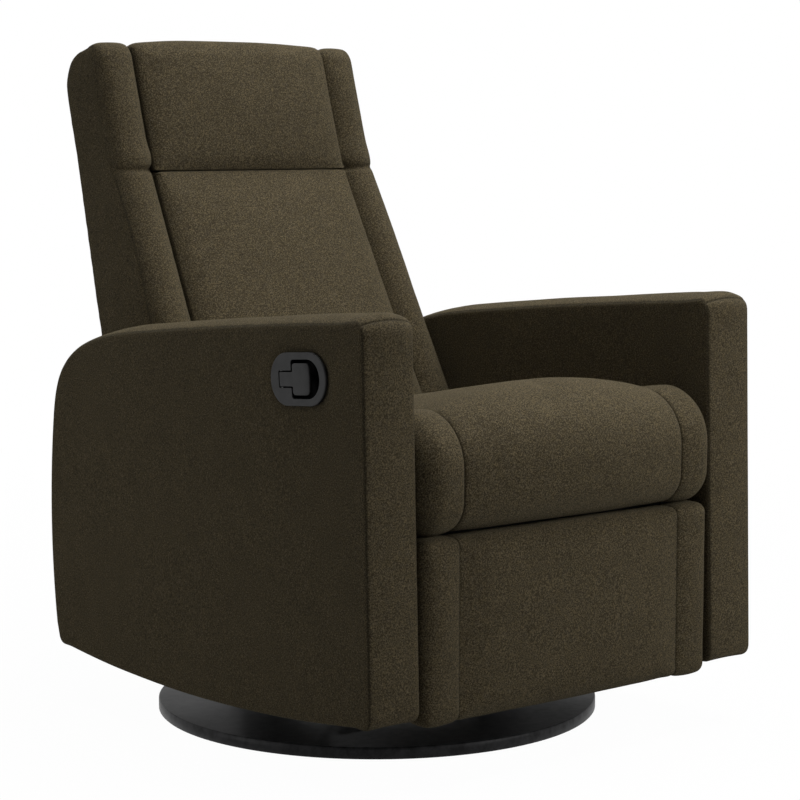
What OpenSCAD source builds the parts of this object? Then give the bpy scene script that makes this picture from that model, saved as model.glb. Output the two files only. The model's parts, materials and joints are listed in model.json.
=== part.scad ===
// Swivel glider recliner with a round disc base, track arms, a sewn seat and a padded footrest.
// Millimetres. The origin is the centre of the disc on the floor, +Z is up, and the sitter faces -Y.
// The release handle is on the sitter's right arm, at -X.

/* [Disc base] */
// Radius of the floor disc
disc_r = 352; // [300:1:380]
// Thickness of the floor disc
disc_t = 18.3; // [15:0.1:24]
// Width of the bevel round the top of the disc
disc_bevel = 1.5; // [1:0.1:3]
// Depth of the screw holes in the disc
disc_hole_depth = 12; // [8:0.5:13]

/* [Swivel bearing] */
// Distance from a glider bracket in to the circle that the balls run on
race_inset = 33; // [28:1:43]
// Radius of one ball
ball_r = 5; // [4.5:0.1:6]
// Number of balls
ball_n = 24; // [12:1:36]
// Width of each raised race
race_w = 44; // [36:1:46]
// Thickness of the swivel plates
swivel_t = 3; // [2.5:0.1:4]
// Height of each race, its plate included
race_h = 7.3; // [6.8:0.1:7.8]
// Width of the lower swivel plate outside its race
flange_land = 23; // [18:1:33]
// Radius of the king pin
king_r = 8; // [7:0.5:10]
// Thickness of the king pin's washer
king_washer_t = 3; // [2:0.5:4]
// Height of the king pin's nut
king_nut_h = 8; // [6:0.5:12]

/* [Glider] */
// Distance from a seat side rail in to a glider bracket
bracket_room = 84; // [82:1:87]
// Thickness of the steel brackets, links and rails
steel_t = 5; // [4:0.5:6]
// Fore and aft distance from the centre to each hanging pivot
pivot_y = 125; // [115:1:130]
// Height of the upper pivots
pivot_z = 205; // [198:1:210]
// Length of a glider link between its pivots
glide_l = 120; // [115:1:125]
// Width of a glider link
glide_w = 26; // [24:1:30]
// Radius of the glider pins
pin_r = 5; // [4:0.5:6]
// Gap between one steel plate and the next
plate_gap = 4; // [3.5:0.5:5]
// Length of the turning plate along Y
turn_plate_l = 290; // [270:1:300]
// Width of a bracket's foot
foot_w = 43; // [35:1:50]
// Height of a glide rail
glide_rail_h = 26; // [24:1:30]
// Side of the square cross tubes
tube_w = 25; // [20:1:30]
// Wall of the square cross tubes
tube_wall = 2; // [1.5:0.5:3]
// Height of the underside of the cross tubes
tube_z = 120; // [112:1:126]
// Distance from the centre to each cross tube's middle
tube_y = 215; // [212:1:222]
// Width of a rail hanger
hanger_w = 36; // [30:1:40]

/* [Arms] */
// Width over the two arms
overall_w = 760; // [740:2:800]
// Width of one arm
arm_w = 90; // [84:1:96]
// Distance from the disc centre forward to the foot of an arm
arm_front = 461; // [450:1:475]
// Backward lean of an arm's front face, foot to top
arm_front_lean = 18; // [10:1:25]
// Distance from the disc centre back to the foot of an arm
arm_back = 352; // [345:1:358]
// Height of an arm's lower front corner
arm_foot_z = 105; // [100:1:110]
// Height of an arm's lower back corner
arm_heel_z = 92; // [90:1:100]
// Height of an arm's sewn edge at the front
arm_top_z = 662; // [640:1:680]
// Height of an arm's sewn edge at the back, before its corner is rounded
arm_rear_top_z = 588; // [570:1:600]
// How far an arm's lower edge hangs below a straight line
arm_belly = 19; // [12:1:22]
// How far an arm's back edge swells behind a straight line
arm_rear_bow = 18; // [10:1:22]
// How far an arm's top edge swells above a straight line
arm_top_bow = 5; // [0:1:8]
// Radius of an arm's upper back corner
arm_back_r = 155; // [100:1:165]
// Radius of an arm's lower corners
arm_foot_r = 22; // [15:1:30]
// Radius of an arm's upper front corner
arm_nose_r = 10; // [6:1:16]
// Height of the crown along the top of an arm
arm_crown = 10; // [6:1:14]
// Thickness of the padding over the arm frame
arm_pad = 12; // [10:1:14]
// Thickness of the boards in the arms
board_t = 18; // [15:1:20]
// Thickness of the hardboard skin on the outer side of an arm
skin_t = 6; // [4:0.5:8]

/* [Seat] */
// Height of the flat deck that carries the seat cushion
deck_z = 358; // [352:1:360]
// Height of the seat's side rails
side_rail_h = 92; // [80:1:100]
// Distance from the disc centre forward to the side rails' ends
side_rail_front = 372; // [365:1:374]
// Distance from the disc centre back to the side rails' ends
side_rail_back = 150; // [140:1:160]
// Thickness of a side rail
side_rail_t = 35; // [33:1:38]
// Thickness of the front and rear seat rails
cross_rail_t = 22; // [18:1:24]
// Height of the front and rear seat rails
cross_rail_h = 53; // [40:1:54]
// Distance from the disc centre back to the rear seat rail
rear_rail_y = 35; // [25:1:40]
// Thickness of the webbing
strap_t = 2.5; // [2:0.1:3]
// Width of one webbing strap
strap_w = 60; // [50:1:70]
// Number of seat straps
seat_strap_n = 5; // [3:1:6]
// Gap between the seat cushion and an arm
seat_gap = 4; // [3:0.5:10]
// Width of a side bolster of the seat, out from its sewn channel
bolster_w = 69; // [61:1:81]
// Distance from the disc centre forward to the front of the seat's side bolsters
seat_front = 468; // [460:1:472]
// Height of the seat's sewn edge where its rounded front ends
seat_edge_z = 530; // [520:1:540]
// Distance from the disc centre back to the seat's upper back edge
seat_back = 101; // [96:1:102]
// Height of the seat's sewn edge at the back
seat_back_z = 452; // [446:1:458]
// Backward slope of the seat's back face, top to bottom
seat_back_slope = 48; // [44:1:52]
// Radius of the seat's upper front edge
seat_nose_r = 80; // [70:1:85]
// Radius of the seat's lower front edge
seat_chin_r = 50; // [42:1:55]
// Crown of the seat's middle panel above its channels
seat_crown = 26; // [18:1:30]
// How far the middle panel stands in front of its channels
seat_bulge = 12; // [6:1:14]
// Depth of the sewn channels
channel_d = 6; // [4:0.5:8]
// Half the width of a sewn channel
channel_half = 7; // [5:0.5:9]
// Radius of the seat's outer edges
seat_side_r = 46; // [36:1:50]
// Distance from the disc centre back to the rear panel
rear_panel_y = 333; // [330:1:338]
// Thickness of the rear panel
rear_panel_t = 14; // [12:1:18]
// Height of the rear panel's lower edge
rear_panel_z = 106; // [102:1:120]
// Height of the rear panel
rear_panel_h = 154; // [140:1:160]

/* [Handle] */
// Distance from the disc centre forward to the middle of the bezel
handle_y = 304; // [298:1:312]
// Height of the middle of the bezel
handle_z = 576.5; // [570:0.5:580]
// How far the handle's front is tilted up, in degrees, with the top of the arm
handle_tilt = 4.5; // [4:0.1:5]
// Length of the bezel
bezel_l = 128; // [124:1:134]
// Height of the bezel
bezel_h = 75; // [70:1:78]
// How far the bezel stands off the cover
bezel_proud = 4; // [3:0.5:6]
// Width of the bezel's rim outside its cup
bezel_rim = 5; // [4:0.5:7]
// Depth of the cup behind the bezel's flange
cup_d = 26; // [24:1:27]
// Wall of the cup
cup_wall = 2.5; // [2:0.1:3]
// Height of the finger opening
finger_h = 55; // [50:1:56]
// Distance from the middle of the bezel back to the finger opening's edge
finger_back = 15; // [12:1:18]
// Distance from the middle of the bezel forward to the finger opening's edge
finger_front = 50; // [46:1:52]
// Thickness of the paddle
paddle_t = 5; // [4:0.5:6]
// Height of the paddle's head
head_h = 46; // [42:1:49]
// Distance from the middle of the bezel forward to the head's edge
head_front = 26; // [22:1:28]
// Distance from the middle of the bezel back to the head's other edge
head_back = 12; // [8:1:12]
// Height of the paddle's stem
stem_h = 21; // [18:1:24]
// Distance from the middle of the bezel back to the paddle's hinge
stem_back = 42; // [39:1:43]
// Gap between the paddle's stem and its slot
paddle_gap = 1.2; // [0.8:0.1:2]
// Radius of the paddle's knuckle
knuckle_r = 4.5; // [4:0.1:5]
// Radius of the lever's pin
lever_pin_r = 1.5; // [1.2:0.1:2]

/* [Back] */
// Distance from the disc centre back to the back's front face at the seat
back_y = 128; // [125:1:134]
// Height at which that distance is taken
back_z = 470; // [464:1:476]
// Lean of the back below the headrest, in degrees
back_lean = 27.7; // [26:0.1:29]
// Height of the seam under the headrest
head_seam_z = 854; // [840:1:870]
// Lean of the headrest, in degrees
head_lean = 16.6; // [14:0.1:19]
// Height of the back's upper front edge
head_top_z = 1063; // [1050:1:1066]
// Distance from the disc centre back to the rear face, at the height of the arm tops
rear_y = 388; // [384:1:395]
// Height at which that distance is taken
rear_z = 599; // [590:1:605]
// Lean of the rear face, in degrees
rear_lean = 14.6; // [13.5:0.1:15.5]
// Height where the rounded upper back corner starts
rear_top_z = 995; // [985:1:1000]
// Radius of the back's upper rear corner
rear_top_r = 46; // [38:1:50]
// Height of the crown along the top edge
head_crown = 9; // [5:1:12]
// Radius of the back's upper front edge
head_round_r = 22; // [16:1:26]
// Puff of the outside back
rear_puff = 4; // [2:1:6]
// Gap between an arm and the outer seam of a wing, at the height of the flare
back_gap = 27; // [24:1:32]
// Width of a wing, with the side cover
wing_w = 67; // [58:1:73]
// Height where that gap is taken
flare_z = 880; // [860:1:900]
// Outward flare of the back for each millimetre below that height
flare_share = 0.038; // [0.03:0.001:0.042]
// Thickness of the side and rear covers of the back
cover_t = 9; // [7:0.5:10]
// Depth from the rear face to the front of the back frame
frame_depth = 72; // [66:1:76]
// Depth of the back frame's posts
post_d = 52; // [44:1:56]
// Width of a back post
post_w = 40; // [34:1:42]
// Puff of the lumbar panel
lumbar_puff = 18; // [10:1:20]
// Puff of the headrest
head_puff = 14; // [8:1:18]
// Puff of a wing
wing_puff = 8; // [4:1:10]
// Height of the lower edge of the back's middle panel
back_low_z = 376; // [374:1:384]
// Height of the lower edge of the wings
wing_low_z = 402; // [400:1:410]
// Height of the lower end of the back frame
post_low_z = 302; // [300:1:310]
// Number of straps across each half of the back frame
back_strap_n = 2; // [1:1:2]

/* [Mechanism] */
// Distance from the disc centre back to the recline pivot
recline_y = 120; // [118:1:124]
// Height of the recline pivot
recline_z = 350; // [348:1:354]
// Radius of the steel round a mechanism pivot
lug_r = 15; // [13:0.5:16]
// Distance from the disc centre forward to the footrest's fixed pivot
foot_a_y = 296; // [294:1:298]
// Height of the footrest's fixed pivot
foot_a_z = 240; // [238:1:243]
// Distance from the disc centre forward to the footrest's middle pivot, folded
foot_b_y = 292; // [290:1:294]
// Height of the footrest's middle pivot, folded
foot_b_z = 108; // [106:1:111]
// Distance from the disc centre forward to the pad's pivot, folded
foot_c_y = 385; // [384:0.5:386]
// Height of the pad's pivot, folded
foot_c_z = 285; // [283:1:286]
// Thickness of the mechanism's steel
mech_t = 4; // [3:0.5:4.5]
// Gap between one mechanism plate and the next
mech_gap = 3; // [2.5:0.5:4]
// Width of the footrest arms and links
bar_w = 22; // [18:1:22]
// Radius of the mechanism's rivets
rivet_r = 4; // [3:0.5:5]
// Radius of the tube that ties the footrest arms together
drive_tube_r = 8; // [6:0.5:9]

/* [Footrest pad] */
// Gap between the footrest pad and an arm
pad_gap = 11; // [8:1:20]
// Width of a side strip of the pad, out from its sewn channel
pad_strip_w = 62; // [54:1:74]
// Distance from the disc centre forward to the pad's front
pad_front = 459; // [455:1:465]
// Distance from the disc centre forward to the pad's back
pad_back = 411; // [409:1:414]
// Height of the pad's lower edge
pad_low_z = 94; // [90:1:100]
// Height of the pad's upper edge
pad_high_z = 354.5; // [350:0.5:356]
// Radius of the pad's front edges
pad_edge_r = 14; // [10:1:18]
// Radius of the pad's outer edges
pad_side_r = 22; // [16:1:22]
// Puff of the pad's middle panel
pad_puff = 7; // [4:1:9]
// Thickness of the board behind the pad
pad_board_t = 12; // [9:0.5:13]

/* [Fasteners] */
// Radius of the screws and bolts
bolt_r = 4; // [3:0.5:5]
// Radius of a bolt head
bolt_head_r = 7; // [6:0.5:9]
// Height of a bolt head
bolt_head_h = 4; // [3:0.5:5]

/* [Hidden] */
$fn = 48;
// Running clearance of a turning plate on its pin
play = 0.05;
// Clearance of a pin in the plate that holds it still
seat_fit = 0.02;
// Clearance between pieces that lie against each other
lay = 0.3;
// Overrun of every cut
over = 1;
// Gap between the boards of one frame, as a glue line
glue = 0.2;
// Inset of the fabric beside a sewn channel
channel_lip = 1;
// Share of a panel's puff that is left beside a sewn channel
channel_puff_share = 0.06;
// Power of the curve that a panel's crown follows, flatter than a circle
crown_power = 2.6;
// Power of the curve across the top of an arm
arm_crown_power = 2.2;
// Softness of the sewn edges of an arm
arm_seam_r = 3;
// Share of an arm's back radius that its back edge stops below the corner
arm_back_share = 0.15;
// Share of the seat's length between its rounded front and the flat of its top
seat_top_share = 0.12;
// Share of the seat's crown that is left at its back edge
seat_tail_share = 0.55;
// How far the seat's upper back edge is rounded off
seat_tail_round = 15;
// Power that spreads the points of the seat's flat underside
seat_flat_power = 1.3;
// Share of a pad's puff that is left on its rounded edges
edge_puff_share = 0.3;
// Power of the curve that draws a wing in at its seams
wing_edge_power = 6;
// Share of the headrest's crown on its rounded upper front edge
edge_crown_share = 0.8;

arm_out = overall_w / 2;
arm_in = arm_out - arm_w;
board_in = arm_in + arm_pad;
disc_top = disc_t;
ball_z = disc_top + swivel_t + ball_r + play;
upper_z = 2 * ball_z - disc_top - race_h;
turn_z = upper_z + race_h;
side_rail_in = board_in - side_rail_t;
bracket_in = side_rail_in - bracket_room;
race_r = bracket_in - race_inset;
swivel_flange_r = race_r + race_w / 2 + flange_land;
bracket_out = bracket_in + steel_t;
link_in = bracket_out + plate_gap;
link_out = link_in + steel_t;
rail_in = link_out + plate_gap;
rail_out = rail_in + steel_t;
low_pivot_z = pivot_z - glide_l;
foot_z = turn_z + steel_t;
seat_half = arm_in - seat_gap;
seat_seam = seat_half - bolster_w;
pad_half = arm_in - pad_gap;
pad_seam = pad_half - pad_strip_w;
wing_half = arm_in - back_gap;
panel_half = wing_half - wing_w;
mech_out = side_rail_in;
mech_in = mech_out - mech_t;
arm1_out = mech_in - mech_gap;
arm1_in = arm1_out - mech_t;
link2_out = arm1_in - mech_gap;
link2_in = link2_out - mech_t;
ear_out = link2_in - mech_gap;
ear_in = ear_out - mech_t;
post_out = wing_half - cover_t - mech_t;
post_in = post_out - post_w;
cushion_z = deck_z + strap_t + lay;
hinge_y = handle_y - stem_back;
plate_x = arm_out + bezel_proud;
hinge_x = -plate_x + bezel_proud / 2 + knuckle_r / 2;
back_rail_z = [post_low_z, (post_low_z + rear_top_z) / 2, rear_top_z - post_w];

fabric = [0.25, 0.22, 0.16];
fabric_dark = [0.2, 0.18, 0.13];
timber = [0.76, 0.62, 0.42];
steel = [0.55, 0.56, 0.58];
dark_steel = [0.16, 0.16, 0.17];
black = [0.06, 0.06, 0.06];

// Curves in the side view. A place is [y, z], or [y, z, puff] on a soft piece

// Points from a to b, swollen to the left of that direction by bow, with n steps
function run(a, b, n, bow = 0, puff = 0) = let (d = b - a, long = norm(d), side = [-d[1], d[0]] / long)
  [for (k = [0 : n]) let (t = k / n, p = a + d * t + side * bow * 4 * t * (1 - t)) [p[0], p[1], puff]];

// Points round a centre c at radius r, from angle a0 to a1, in n steps
function round_run(c, r, a0, a1, n, puff = 0) =
  [for (k = [0 : n]) let (a = a0 + (a1 - a0) * k / n) [c[0] + r * cos(a), c[1] + r * sin(a), puff]];

function flat(points) = [for (p = points) [p[0], p[1]]];
function join(lists) = [for (l = lists) for (p = l) p];
function turned(points) = [for (k = [len(points) - 1 : -1 : 0]) points[k]];

// Puff that rises from nothing at both ends of a run to its full size in the middle
function puffed(points, puff) = let (n = len(points) - 1)
  [for (k = [0 : n]) [points[k][0], points[k][1], puff * sin(180 * k / n)]];

// Outward direction at point k of a closed outline that runs clockwise as seen from +X
function outward(loop, k) = let (n = len(loop), a = loop[(k + n - 1) % n], b = loop[(k + 1) % n],
  d = [b[0] - a[0], b[1] - a[1]]) [-d[1], d[0]] / norm(d);

// One ring of a soft piece: the loop at side place x, drawn in, with a share of its puff
function ring(loop, x, inset, puff_share, flare) = [for (k = [0 : len(loop) - 1])
  let (n = outward(loop, k), d = puff_share * loop[k][2] - inset)
  [x + sign(x) * flare * max(0, flare_z - loop[k][1]), loop[k][0] + n[0] * d, loop[k][1] + n[1] * d]];

// A closed soft piece. The face and the back are two runs of as many points, which start and
// end side by side. Each station is [x, inset, share of the puff]
module soft_form(face, back, stations, flare = 0) {
  loop = concat(face, turned(back));
  n = len(loop);
  m = len(face);
  last = len(stations) - 1;
  points = join([for (s = stations) ring(loop, s[0], s[1], s[2], flare)]);
  skin = [for (i = [0 : last - 1]) for (k = [0 : n - 1]) let (a = i * n + k, b = i * n + (k + 1) % n)
    each [[a, b, a + n], [b, b + n, a + n]]];
  caps = [for (i = [0, last]) for (k = [0 : m - 2])
    let (o = i * n, a = o + k, b = o + k + 1, c = o + n - 1 - k, d = o + n - 2 - k)
    each (i == 0 ? [[a, c, b], [b, c, d]] : [[a, b, c], [b, d, c]])];
  polyhedron(points = points, faces = concat(skin, caps), convexity = 6);
}

// Rounded end of a soft piece on the +X side, from its flat to its end face
function end_round(half, r, n) = [for (k = [0 : n]) let (a = 90 * k / n)
  [half - r + r * sin(a), r * (1 - cos(a)), 0]];

// Mirrored list of stations, so that a form has the same two sides
function both_sides(right) = concat([for (s = turned(right)) [-s[0], s[1], s[2]]], right);

// Stations of the middle panel of a piece, from its centre line to the seam
function crown_run(half, n) = [for (k = [1 : n]) let (t = (k - 0.5) / n)
  [half * t, 0, 1 - pow(t, crown_power)]];

// Stations across a sewn channel at a distance from the centre line
function channel_at(seam) = [[seam - channel_half, channel_lip, channel_puff_share], [seam, channel_d, 0],
  [seam + channel_half, channel_lip, channel_puff_share]];

// Plate in the side view with rounded ends of radius r round two pivots
module side_bar(x, t, a, b, r, bore) {
  translate([x, 0, 0]) rotate([90, 0, 90]) linear_extrude(t) difference() {
    union() {
      translate(a) circle(r);
      translate(b) circle(r);
      let (d = b - a, s = [-d[1], d[0]] / norm(d) * r) polygon([a - s, b - s, b + s, a + s]);
    }
    translate(a) circle(bore);
    translate(b) circle(bore);
  }
}

// Round bar along X
module x_pin(x0, x1, y, z, r) {
  translate([min(x0, x1), y, z]) rotate([0, 90, 0]) cylinder(h = abs(x1 - x0), r = r);
}

module both_mirrored() {
  children();
  mirror([1, 0, 0]) children();
}

// Side profile extruded along X
module side_plate(x, t, outline) {
  translate([x, 0, 0]) rotate([90, 0, 90]) linear_extrude(t) polygon(flat(outline));
}

// Places of the fasteners
plate_screw_r = (race_r + race_w / 2 + swivel_flange_r) / 2;
plate_screw_n = 6;
turn_bolt_r = race_r - race_w / 2 + bolt_head_r + over;
turn_bolt_n = 4;
bracket_bolt_y = [-1, 0, 1] * (pivot_y - glide_w);
bracket_bolt_x = bracket_in - foot_w / 2;
arm_bolt_places = [[-foot_a_y + 2 * lug_r, deck_z - side_rail_h / 2],
  [-pivot_y, deck_z - side_rail_h / 2], [side_rail_back - side_rail_h / 2, deck_z - side_rail_h / 2]];

module base_disc() {
  color(black) difference() {
    rotate_extrude($fn = 180) polygon([[0, 0], [disc_r - disc_bevel, 0], [disc_r, disc_bevel],
      [disc_r, disc_t - disc_bevel], [disc_r - disc_bevel, disc_t], [0, disc_t]]);
    for (k = [1 : plate_screw_n]) rotate([0, 0, 360 * k / plate_screw_n])
      translate([plate_screw_r, 0, disc_t - disc_hole_depth])
        cylinder(h = disc_hole_depth + over, r = bolt_r);
  }
}

// Section of one swivel plate, lying on z = 0 with its race up
module race_section(out_r) {
  difference() {
    union() {
      translate([king_r + play, 0]) square([out_r - king_r - play, swivel_t]);
      translate([race_r - race_w / 2, 0]) square([race_w, race_h]);
    }
    translate([race_r, swivel_t + ball_r + play]) circle(ball_r + play);
  }
}

module swivel_lower_plate() {
  color(steel) translate([0, 0, disc_top]) difference() {
    rotate_extrude($fn = 96) race_section(swivel_flange_r);
    for (k = [1 : plate_screw_n]) rotate([0, 0, 360 * k / plate_screw_n])
      translate([plate_screw_r, 0, -over]) cylinder(h = swivel_t + 2 * over, r = bolt_r);
  }
}

module swivel_balls() {
  color(steel) for (k = [1 : ball_n]) rotate([0, 0, 360 * k / ball_n])
    translate([race_r, 0, ball_z]) sphere(ball_r);
}

module plate_screws() {
  color(dark_steel) for (k = [1 : plate_screw_n]) rotate([0, 0, 360 * k / plate_screw_n])
    translate([plate_screw_r, 0, 0]) {
      translate([0, 0, disc_top + swivel_t]) cylinder(h = bolt_head_h, r = bolt_head_r);
      translate([0, 0, disc_top - disc_hole_depth + over])
        cylinder(h = disc_hole_depth - over + swivel_t, r = bolt_r - seat_fit);
    }
}

module swivel_upper_plate() {
  color(steel) difference() {
    translate([0, 0, turn_z]) mirror([0, 0, 1]) rotate_extrude($fn = 96) race_section(race_r + race_w / 2);
    for (k = [1 : turn_bolt_n]) rotate([0, 0, 360 * (k - 0.5) / turn_bolt_n])
      translate([turn_bolt_r, 0, upper_z - over]) cylinder(h = race_h + 2 * over, r = bolt_r);
  }
}

module turning_plate() {
  color(dark_steel) difference() {
    translate([-bracket_out, -turn_plate_l / 2, turn_z]) cube([2 * bracket_out, turn_plate_l, steel_t]);
    translate([0, 0, turn_z - over]) cylinder(h = steel_t + 2 * over, r = king_r + play);
    for (k = [1 : turn_bolt_n]) rotate([0, 0, 360 * (k - 0.5) / turn_bolt_n])
      translate([turn_bolt_r, 0, turn_z - over]) cylinder(h = steel_t + 2 * over, r = bolt_r);
    for (y = bracket_bolt_y, s = [-1, 1]) translate([s * bracket_bolt_x, y, turn_z - over])
      cylinder(h = steel_t + 2 * over, r = bolt_r);
  }
}

module turning_plate_bolts() {
  color(steel) for (k = [1 : turn_bolt_n]) rotate([0, 0, 360 * (k - 0.5) / turn_bolt_n])
    translate([turn_bolt_r, 0, 0]) {
      translate([0, 0, foot_z]) cylinder(h = bolt_head_h, r = bolt_head_r, $fn = 6);
      translate([0, 0, turn_z - swivel_t]) cylinder(h = swivel_t + steel_t, r = bolt_r - seat_fit);
    }
}

module king_pin() {
  color(steel) {
    translate([0, 0, disc_top]) cylinder(h = foot_z + king_washer_t - disc_top, r = king_r);
    translate([0, 0, foot_z + play]) cylinder(h = king_washer_t, r = 2 * king_r);
    translate([0, 0, foot_z + play + king_washer_t]) cylinder(h = king_nut_h, r = 1.5 * king_r, $fn = 6);
  }
}

// Glider bracket on the +X side: a foot on the turning plate and an upright with two pivots
module glider_bracket() {
  difference() {
    union() {
      side_plate(bracket_in, steel_t, [[-pivot_y + glide_w / 2, foot_z], [pivot_y - glide_w / 2, foot_z],
        [pivot_y + glide_w / 2, pivot_z - glide_w], [pivot_y + glide_w / 2, pivot_z],
        [pivot_y, pivot_z + glide_w / 2], [-pivot_y, pivot_z + glide_w / 2],
        [-pivot_y - glide_w / 2, pivot_z], [-pivot_y - glide_w / 2, pivot_z - glide_w]]);
      translate([bracket_in - foot_w, -pivot_y + glide_w / 2, foot_z])
        cube([foot_w + over, 2 * pivot_y - glide_w, steel_t]);
    }
    for (s = [-1, 1]) x_pin(bracket_in - over, bracket_out + over, s * pivot_y, pivot_z, pin_r + seat_fit);
    for (y = bracket_bolt_y) translate([bracket_bolt_x, y, foot_z - over])
      cylinder(h = steel_t + 2 * over, r = bolt_r);
  }
}

module glider_bracket_right() {
  color(dark_steel) glider_bracket();
}

module glider_bracket_left() {
  color(dark_steel) mirror([1, 0, 0]) glider_bracket();
}

module bracket_bolts() {
  color(steel) for (y = bracket_bolt_y, s = [-1, 1]) translate([s * bracket_bolt_x, y, 0]) {
    translate([0, 0, foot_z + steel_t]) cylinder(h = bolt_head_h, r = bolt_head_r, $fn = 6);
    translate([0, 0, turn_z]) cylinder(h = 2 * steel_t, r = bolt_r - seat_fit);
  }
}

// Pin in a bracket: a head inside, a collar between the plates and a clip outside the link
module upper_pins() {
  color(steel) both_mirrored() for (s = [-1, 1]) {
    x_pin(bracket_in - steel_t, bracket_in, s * pivot_y, pivot_z, pin_r + plate_gap);
    x_pin(bracket_in - over, link_out + plate_gap / 2, s * pivot_y, pivot_z, pin_r);
    x_pin(bracket_out, link_in - lay, s * pivot_y, pivot_z, pin_r + plate_gap / 2);
    x_pin(link_out + lay, link_out + plate_gap / 2, s * pivot_y, pivot_z, pin_r + plate_gap / 2);
  }
}

module glider_links(s) {
  color(dark_steel) both_mirrored() side_bar(link_in, steel_t, [s * pivot_y, pivot_z],
    [s * pivot_y, low_pivot_z], glide_w / 2, pin_r + play);
}

module front_links() {
  glider_links(-1);
}

module rear_links() {
  glider_links(1);
}

module lower_pins() {
  color(steel) both_mirrored() for (s = [-1, 1]) {
    x_pin(rail_out, rail_out + steel_t, s * pivot_y, low_pivot_z, pin_r + plate_gap);
    x_pin(link_in - plate_gap / 2, rail_out + over, s * pivot_y, low_pivot_z, pin_r);
    x_pin(link_out + lay, rail_in, s * pivot_y, low_pivot_z, pin_r + plate_gap / 2);
    x_pin(link_in - plate_gap / 2, link_in - lay, s * pivot_y, low_pivot_z, pin_r + plate_gap / 2);
  }
}

// Glide rail on the +X side, hung from the cross tubes
module glide_rail() {
  difference() {
    translate([rail_in, -tube_y - hanger_w / 2, low_pivot_z - glide_rail_h / 2])
      cube([steel_t, 2 * tube_y + hanger_w, glide_rail_h]);
    for (s = [-1, 1]) x_pin(rail_in - over, rail_out + over, s * pivot_y, low_pivot_z, pin_r + seat_fit);
  }
}

module glide_rail_right() {
  color(dark_steel) glide_rail();
}

module glide_rail_left() {
  color(dark_steel) mirror([1, 0, 0]) glide_rail();
}

module rail_hangers() {
  color(dark_steel) both_mirrored() for (s = [-1, 1]) {
    translate([rail_out, s * tube_y - hanger_w / 2, low_pivot_z - glide_rail_h / 2])
      cube([steel_t, hanger_w, tube_z - low_pivot_z + glide_rail_h / 2]);
    translate([rail_out, s * tube_y - hanger_w / 2, tube_z - steel_t]) cube([hanger_w, hanger_w, steel_t]);
  }
}

module cross_tube(s) {
  color(dark_steel) translate([-board_in, s * tube_y - tube_w / 2, tube_z]) difference() {
    cube([2 * board_in, tube_w, tube_w]);
    translate([-over, tube_wall, tube_wall])
      cube([2 * (board_in + over), tube_w - 2 * tube_wall, tube_w - 2 * tube_wall]);
  }
}

module cross_tube_front() {
  cross_tube(-1);
}

module cross_tube_rear() {
  cross_tube(1);
}

// Arms. The outline follows the sewn edge, clockwise as seen from +X
arm_foot = [-arm_front, arm_foot_z];
arm_nose = [-arm_front + arm_front_lean, arm_top_z];
arm_rump = [arm_back, arm_rear_top_z];
arm_heel = [arm_back, arm_heel_z];
arm_top_d = arm_rump - arm_nose;
arm_top_a = atan2(arm_top_d[1], arm_top_d[0]);
arm_front_a = atan2(arm_nose[1] - arm_foot[1], arm_nose[0] - arm_foot[0]);
arm_up = [cos(arm_front_a), sin(arm_front_a)];
arm_front_edge = concat(
  round_run(arm_foot + [arm_foot_r, arm_foot_r], arm_foot_r, 235, arm_front_a + 90, 3, arm_crown / 5),
  run(arm_foot + arm_up * 2 * arm_foot_r, arm_nose - arm_up * 3 * arm_nose_r, 3, 0, arm_crown / 2));
arm_top_edge = concat(
  run(arm_nose + [3 * arm_nose_r, 3 * arm_nose_r * tan(arm_top_a)],
    arm_rump - [arm_back_r, arm_back_r * tan(arm_top_a)], 7, arm_top_bow, arm_crown),
  round_run([arm_back - arm_back_r + arm_rear_bow / 2, arm_rear_top_z - arm_back_r * (1 + tan(arm_top_a))],
    arm_back_r, arm_top_a + 70, 20, 3, arm_crown));
arm_face = concat(arm_front_edge,
  round_run(arm_nose + [arm_nose_r, -arm_nose_r], arm_nose_r, arm_front_a + 90, arm_top_a + 90, 3, arm_crown),
  arm_top_edge);
arm_base = concat(
  run([-arm_front + 2 * arm_foot_r, arm_foot_z + over], arm_heel - [2 * arm_foot_r, 0],
    len(arm_face) - 12, -arm_belly, 0),
  round_run(arm_heel + [-arm_foot_r, arm_foot_r], arm_foot_r, 280, 350, 3, 0),
  run(arm_heel + [arm_rear_bow / 3, 2 * arm_foot_r],
    arm_rump + [arm_rear_bow / 2, -(1 + arm_back_share) * arm_back_r], 6,
    -(1 - 2 * arm_back_share) * arm_rear_bow, arm_crown / 3));
arm_stations = concat([[arm_in, arm_seam_r, 0], [arm_in + arm_seam_r / 3, 0, 0]],
  [for (k = [1 : 7]) let (t = k / 8) [arm_in + arm_w * t, 0, 1 - pow(2 * abs(t - 0.5), arm_crown_power)]],
  [[arm_out - arm_seam_r / 3, 0, 0], [arm_out, arm_seam_r, 0]]);
// A closed outline drawn in evenly by d, with its corners kept
function edge_side(a, b) = let (d = [b[0] - a[0], b[1] - a[1]]) [-d[1], d[0]] / norm(d);
function drawn_in(loop, d) = let (n = len(loop)) [for (k = [0 : n - 1])
  let (s = edge_side(loop[(k + n - 1) % n], loop[k]), t = edge_side(loop[k], loop[(k + 1) % n]))
  [loop[k][0], loop[k][1]] - (s + t) / (1 + s * t) * d];
// The frame inside an arm has the same outline, with a square corner at the front of its top
arm_loop = concat(arm_front_edge, [arm_nose], arm_top_edge, turned(arm_base));
arm_core = drawn_in(arm_loop, arm_pad + glue);

// Turns the handle's pieces and their cut-outs about the middle of the bezel
module tilted() {
  translate([0, -handle_y, handle_z]) rotate([-handle_tilt, 0, 0]) translate([0, handle_y, -handle_z]) children();
}

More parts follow.
